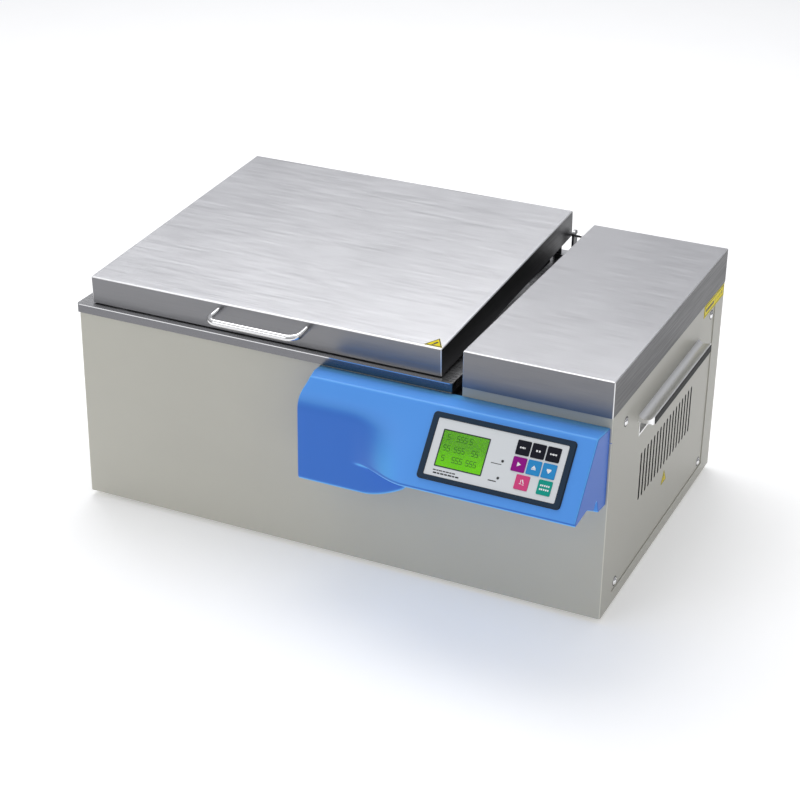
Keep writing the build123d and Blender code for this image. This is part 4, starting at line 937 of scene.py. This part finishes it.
# %% Key marks
first_key, key_step = (617.3, 28.1), (17.7, 19.1)
key_slot = {"key_menu": "black_keys", "key_program": "black_keys", "key_function": "black_keys",
            "key_start": "purple_key", "key_up": "blue_keys", "key_down": "blue_keys", "key_stop": "pink_key",
            "key_set": "teal_key"}


def key_marks(name, column, row, shapes):
    """White marks on one key; shapes are outlines about the key's middle."""
    x, down = first_key[0] + key_step[0] * column, first_key[1] + key_step[1] * row
    outlines = [[(x + a, down + b) for a, b in shape] for shape in shapes]
    printed(name + "_marks", outlines, on_slope, 1.8, 1.86, white_ink, name + "_cap", key_slot[name])


letter_heights = {-3.2: 2.0, -1.5: 1.4, 0.2: 2.2, 1.9: 1.5, 3.5: 1.9}
short_word = [box_mark(x, 0, 1.3, height) for x, height in letter_heights.items()]
key_marks("key_menu", 0, 0, short_word[:4])
key_marks("key_program", 1, 0, [box_mark(-1.6, 0, 2.0, 2.2), box_mark(1.6, 0, 2.0, 2.2)])
key_marks("key_function", 2, 0, short_word)
key_marks("key_start", 0, 1, [[(-1.9, -2.6), (-1.9, 2.6), (2.6, 0)]])
key_marks("key_up", 1, 1, [[(0, -2.6), (2.7, 1.0), (-2.7, 1.0)], box_mark(0, 1.9, 5.4, 0.9)])
key_marks("key_down", 2, 1, [[(-2.6, -2.2), (2.6, -2.2), (2.6, -0.4), (0, 3.0), (-2.6, -0.4)]])
key_marks("key_stop", 0.5, 2, [box_mark(-1.6, 1.6, 2.4, 0.8), box_mark(1.8, 2.3, 2.4, 0.8),
                               [(-0.4, -3.4), (0.7, -3.4), (2.6, 0.9), (1.5, 0.9)],
                               box_mark(-1.4, -1.2, 0.8, 3.4)])
key_marks("key_set", 2, 2, [box_mark(1.15 * a, b, 1.6, 2.0)
                            for b in (-2.1, 2.3) for a in (-4, -2.1, 0.1, 2.2, 4.2)])

# %% [markdown]
# ## Screws of the side panel
# The domed heads sit in small dimples, and the shade in each dimple is painted as a flat dark ring.

# %% Painted shade rings round the screws


def circle(x, down, radius, count=28):
    """Points round a circle, clockwise as seen."""
    angle = np.linspace(0.0, 2 * pi, count, endpoint=False)
    return np.stack([x + radius * np.cos(angle), down + radius * np.sin(angle)], axis=1)


screw_from_edge, screw_low, screw_high = 50.0, 33.0, 245.0
for number, (y, z) in enumerate([(y, z) for y in (screw_from_edge, cabinet_depth - screw_from_edge)
                                 for z in (screw_low, screw_high)]):
    framed(f"screw_shade_ring_{number + 1}", circle(y, -z, 6.4), circle(y, -z, 4.6), on_panel, -0.1, 0.12, ink,
           "cabinet", "cabinet_paint")

# %% [markdown]
# ## Yellow plates
# Each plate gets a dark border and a plain dark mark. The long one at the back gets a border and a row of
# blocks instead.

# %% Borders and marks of the plates


def triangle(x, down, radius):
    """Three corners about a middle, one of them straight up."""
    angle = np.radians([-90.0, 30.0, 150.0])
    return np.stack([x + radius * np.cos(angle), down + radius * np.sin(angle)], axis=1)


plate_height = (0.35, 0.47)
mark_height = (0.38, 0.47)
lid_mark, side_mark, strip_edges = (460.0, -10.5), (223.0, -86.0), (343.2, 424.8, -269.8, -256.0)
framed("lid_label_border", triangle(*lid_mark, 12.4), triangle(*lid_mark, 10.0), on_lid, *plate_height, ink,
       "lid", "yellow_label")
lid_stroke = [(457.6, -8.6), (460.4, -14.6), (463.0, -13.4), (460.2, -7.4)]
printed("lid_label_mark", [lid_stroke, box_mark(458.6, -6.0, 2.8, 2.0)], on_lid, *mark_height, ink, "lid",
        "yellow_label")
framed("side_label_border", triangle(*side_mark, 10.5), triangle(*side_mark, 8.8), on_panel, *plate_height,
       ink, "cabinet", "yellow_label")
side_strokes = [box_mark(side_mark[0], -88.0, 1.6, 6.0), box_mark(side_mark[0], -82.8, 1.8, 1.8)]
printed("side_label_mark", side_strokes, on_panel, *mark_height, ink, "cabinet", "yellow_label")
framed("strip_border", rounded_box(strip_edges, 0.0, 0.6), rounded_box(strip_edges, -1.0, 0.4), on_side,
       *plate_height, ink, "cabinet", "yellow_label")
printed("strip_marks", broken_line(348.0, -262.9, 70.0, 4.0, word * 2 + [2]), on_side, *mark_height, ink,
        "cabinet", "yellow_label")

# %% [markdown]
# ## Painted highlights on folded edges
# Folded sheet catches the light as a thin line along its edge, and a thin bright plate is the simplest way to
# draw it. The rim's front edge gets one. The other lies on the cabinet's front, level with the bottom of the
# cover's box. That is where the cover's closing plate ends, below its visible edge, so the console hides
# nearly all of it.

# %% Two painted edge highlights


def hem(name, node, middle_z, wide, gap, out, past):
    """A bright plate along a solid's front, a painted highlight, with a gap free at each end, from just
    behind out to past it.
    """
    low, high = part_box(node)
    left, right = 1000 * (low.x - corner[0]) + gap, 1000 * (high.x - corner[0]) - gap
    plate = box_mark((left + right) / 2, -middle_z, right - left, wide)
    printed(name, [plate], on_front, out - 0.05, out + past, polished, "cabinet", "brushed_steel")


rim_out = 1000 * (corner[1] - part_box("tank")[0].y)
hem("cover_edge_highlight", "right_cover", 1000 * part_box("right_cover")[0].z + 0.7, 1.2, 0.0, 0.0, 0.12)
hem("rim_edge_highlight", "tank", 1000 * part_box("tank")[1].z - 0.9, 1.1, 3.0, rim_out, 0.1)
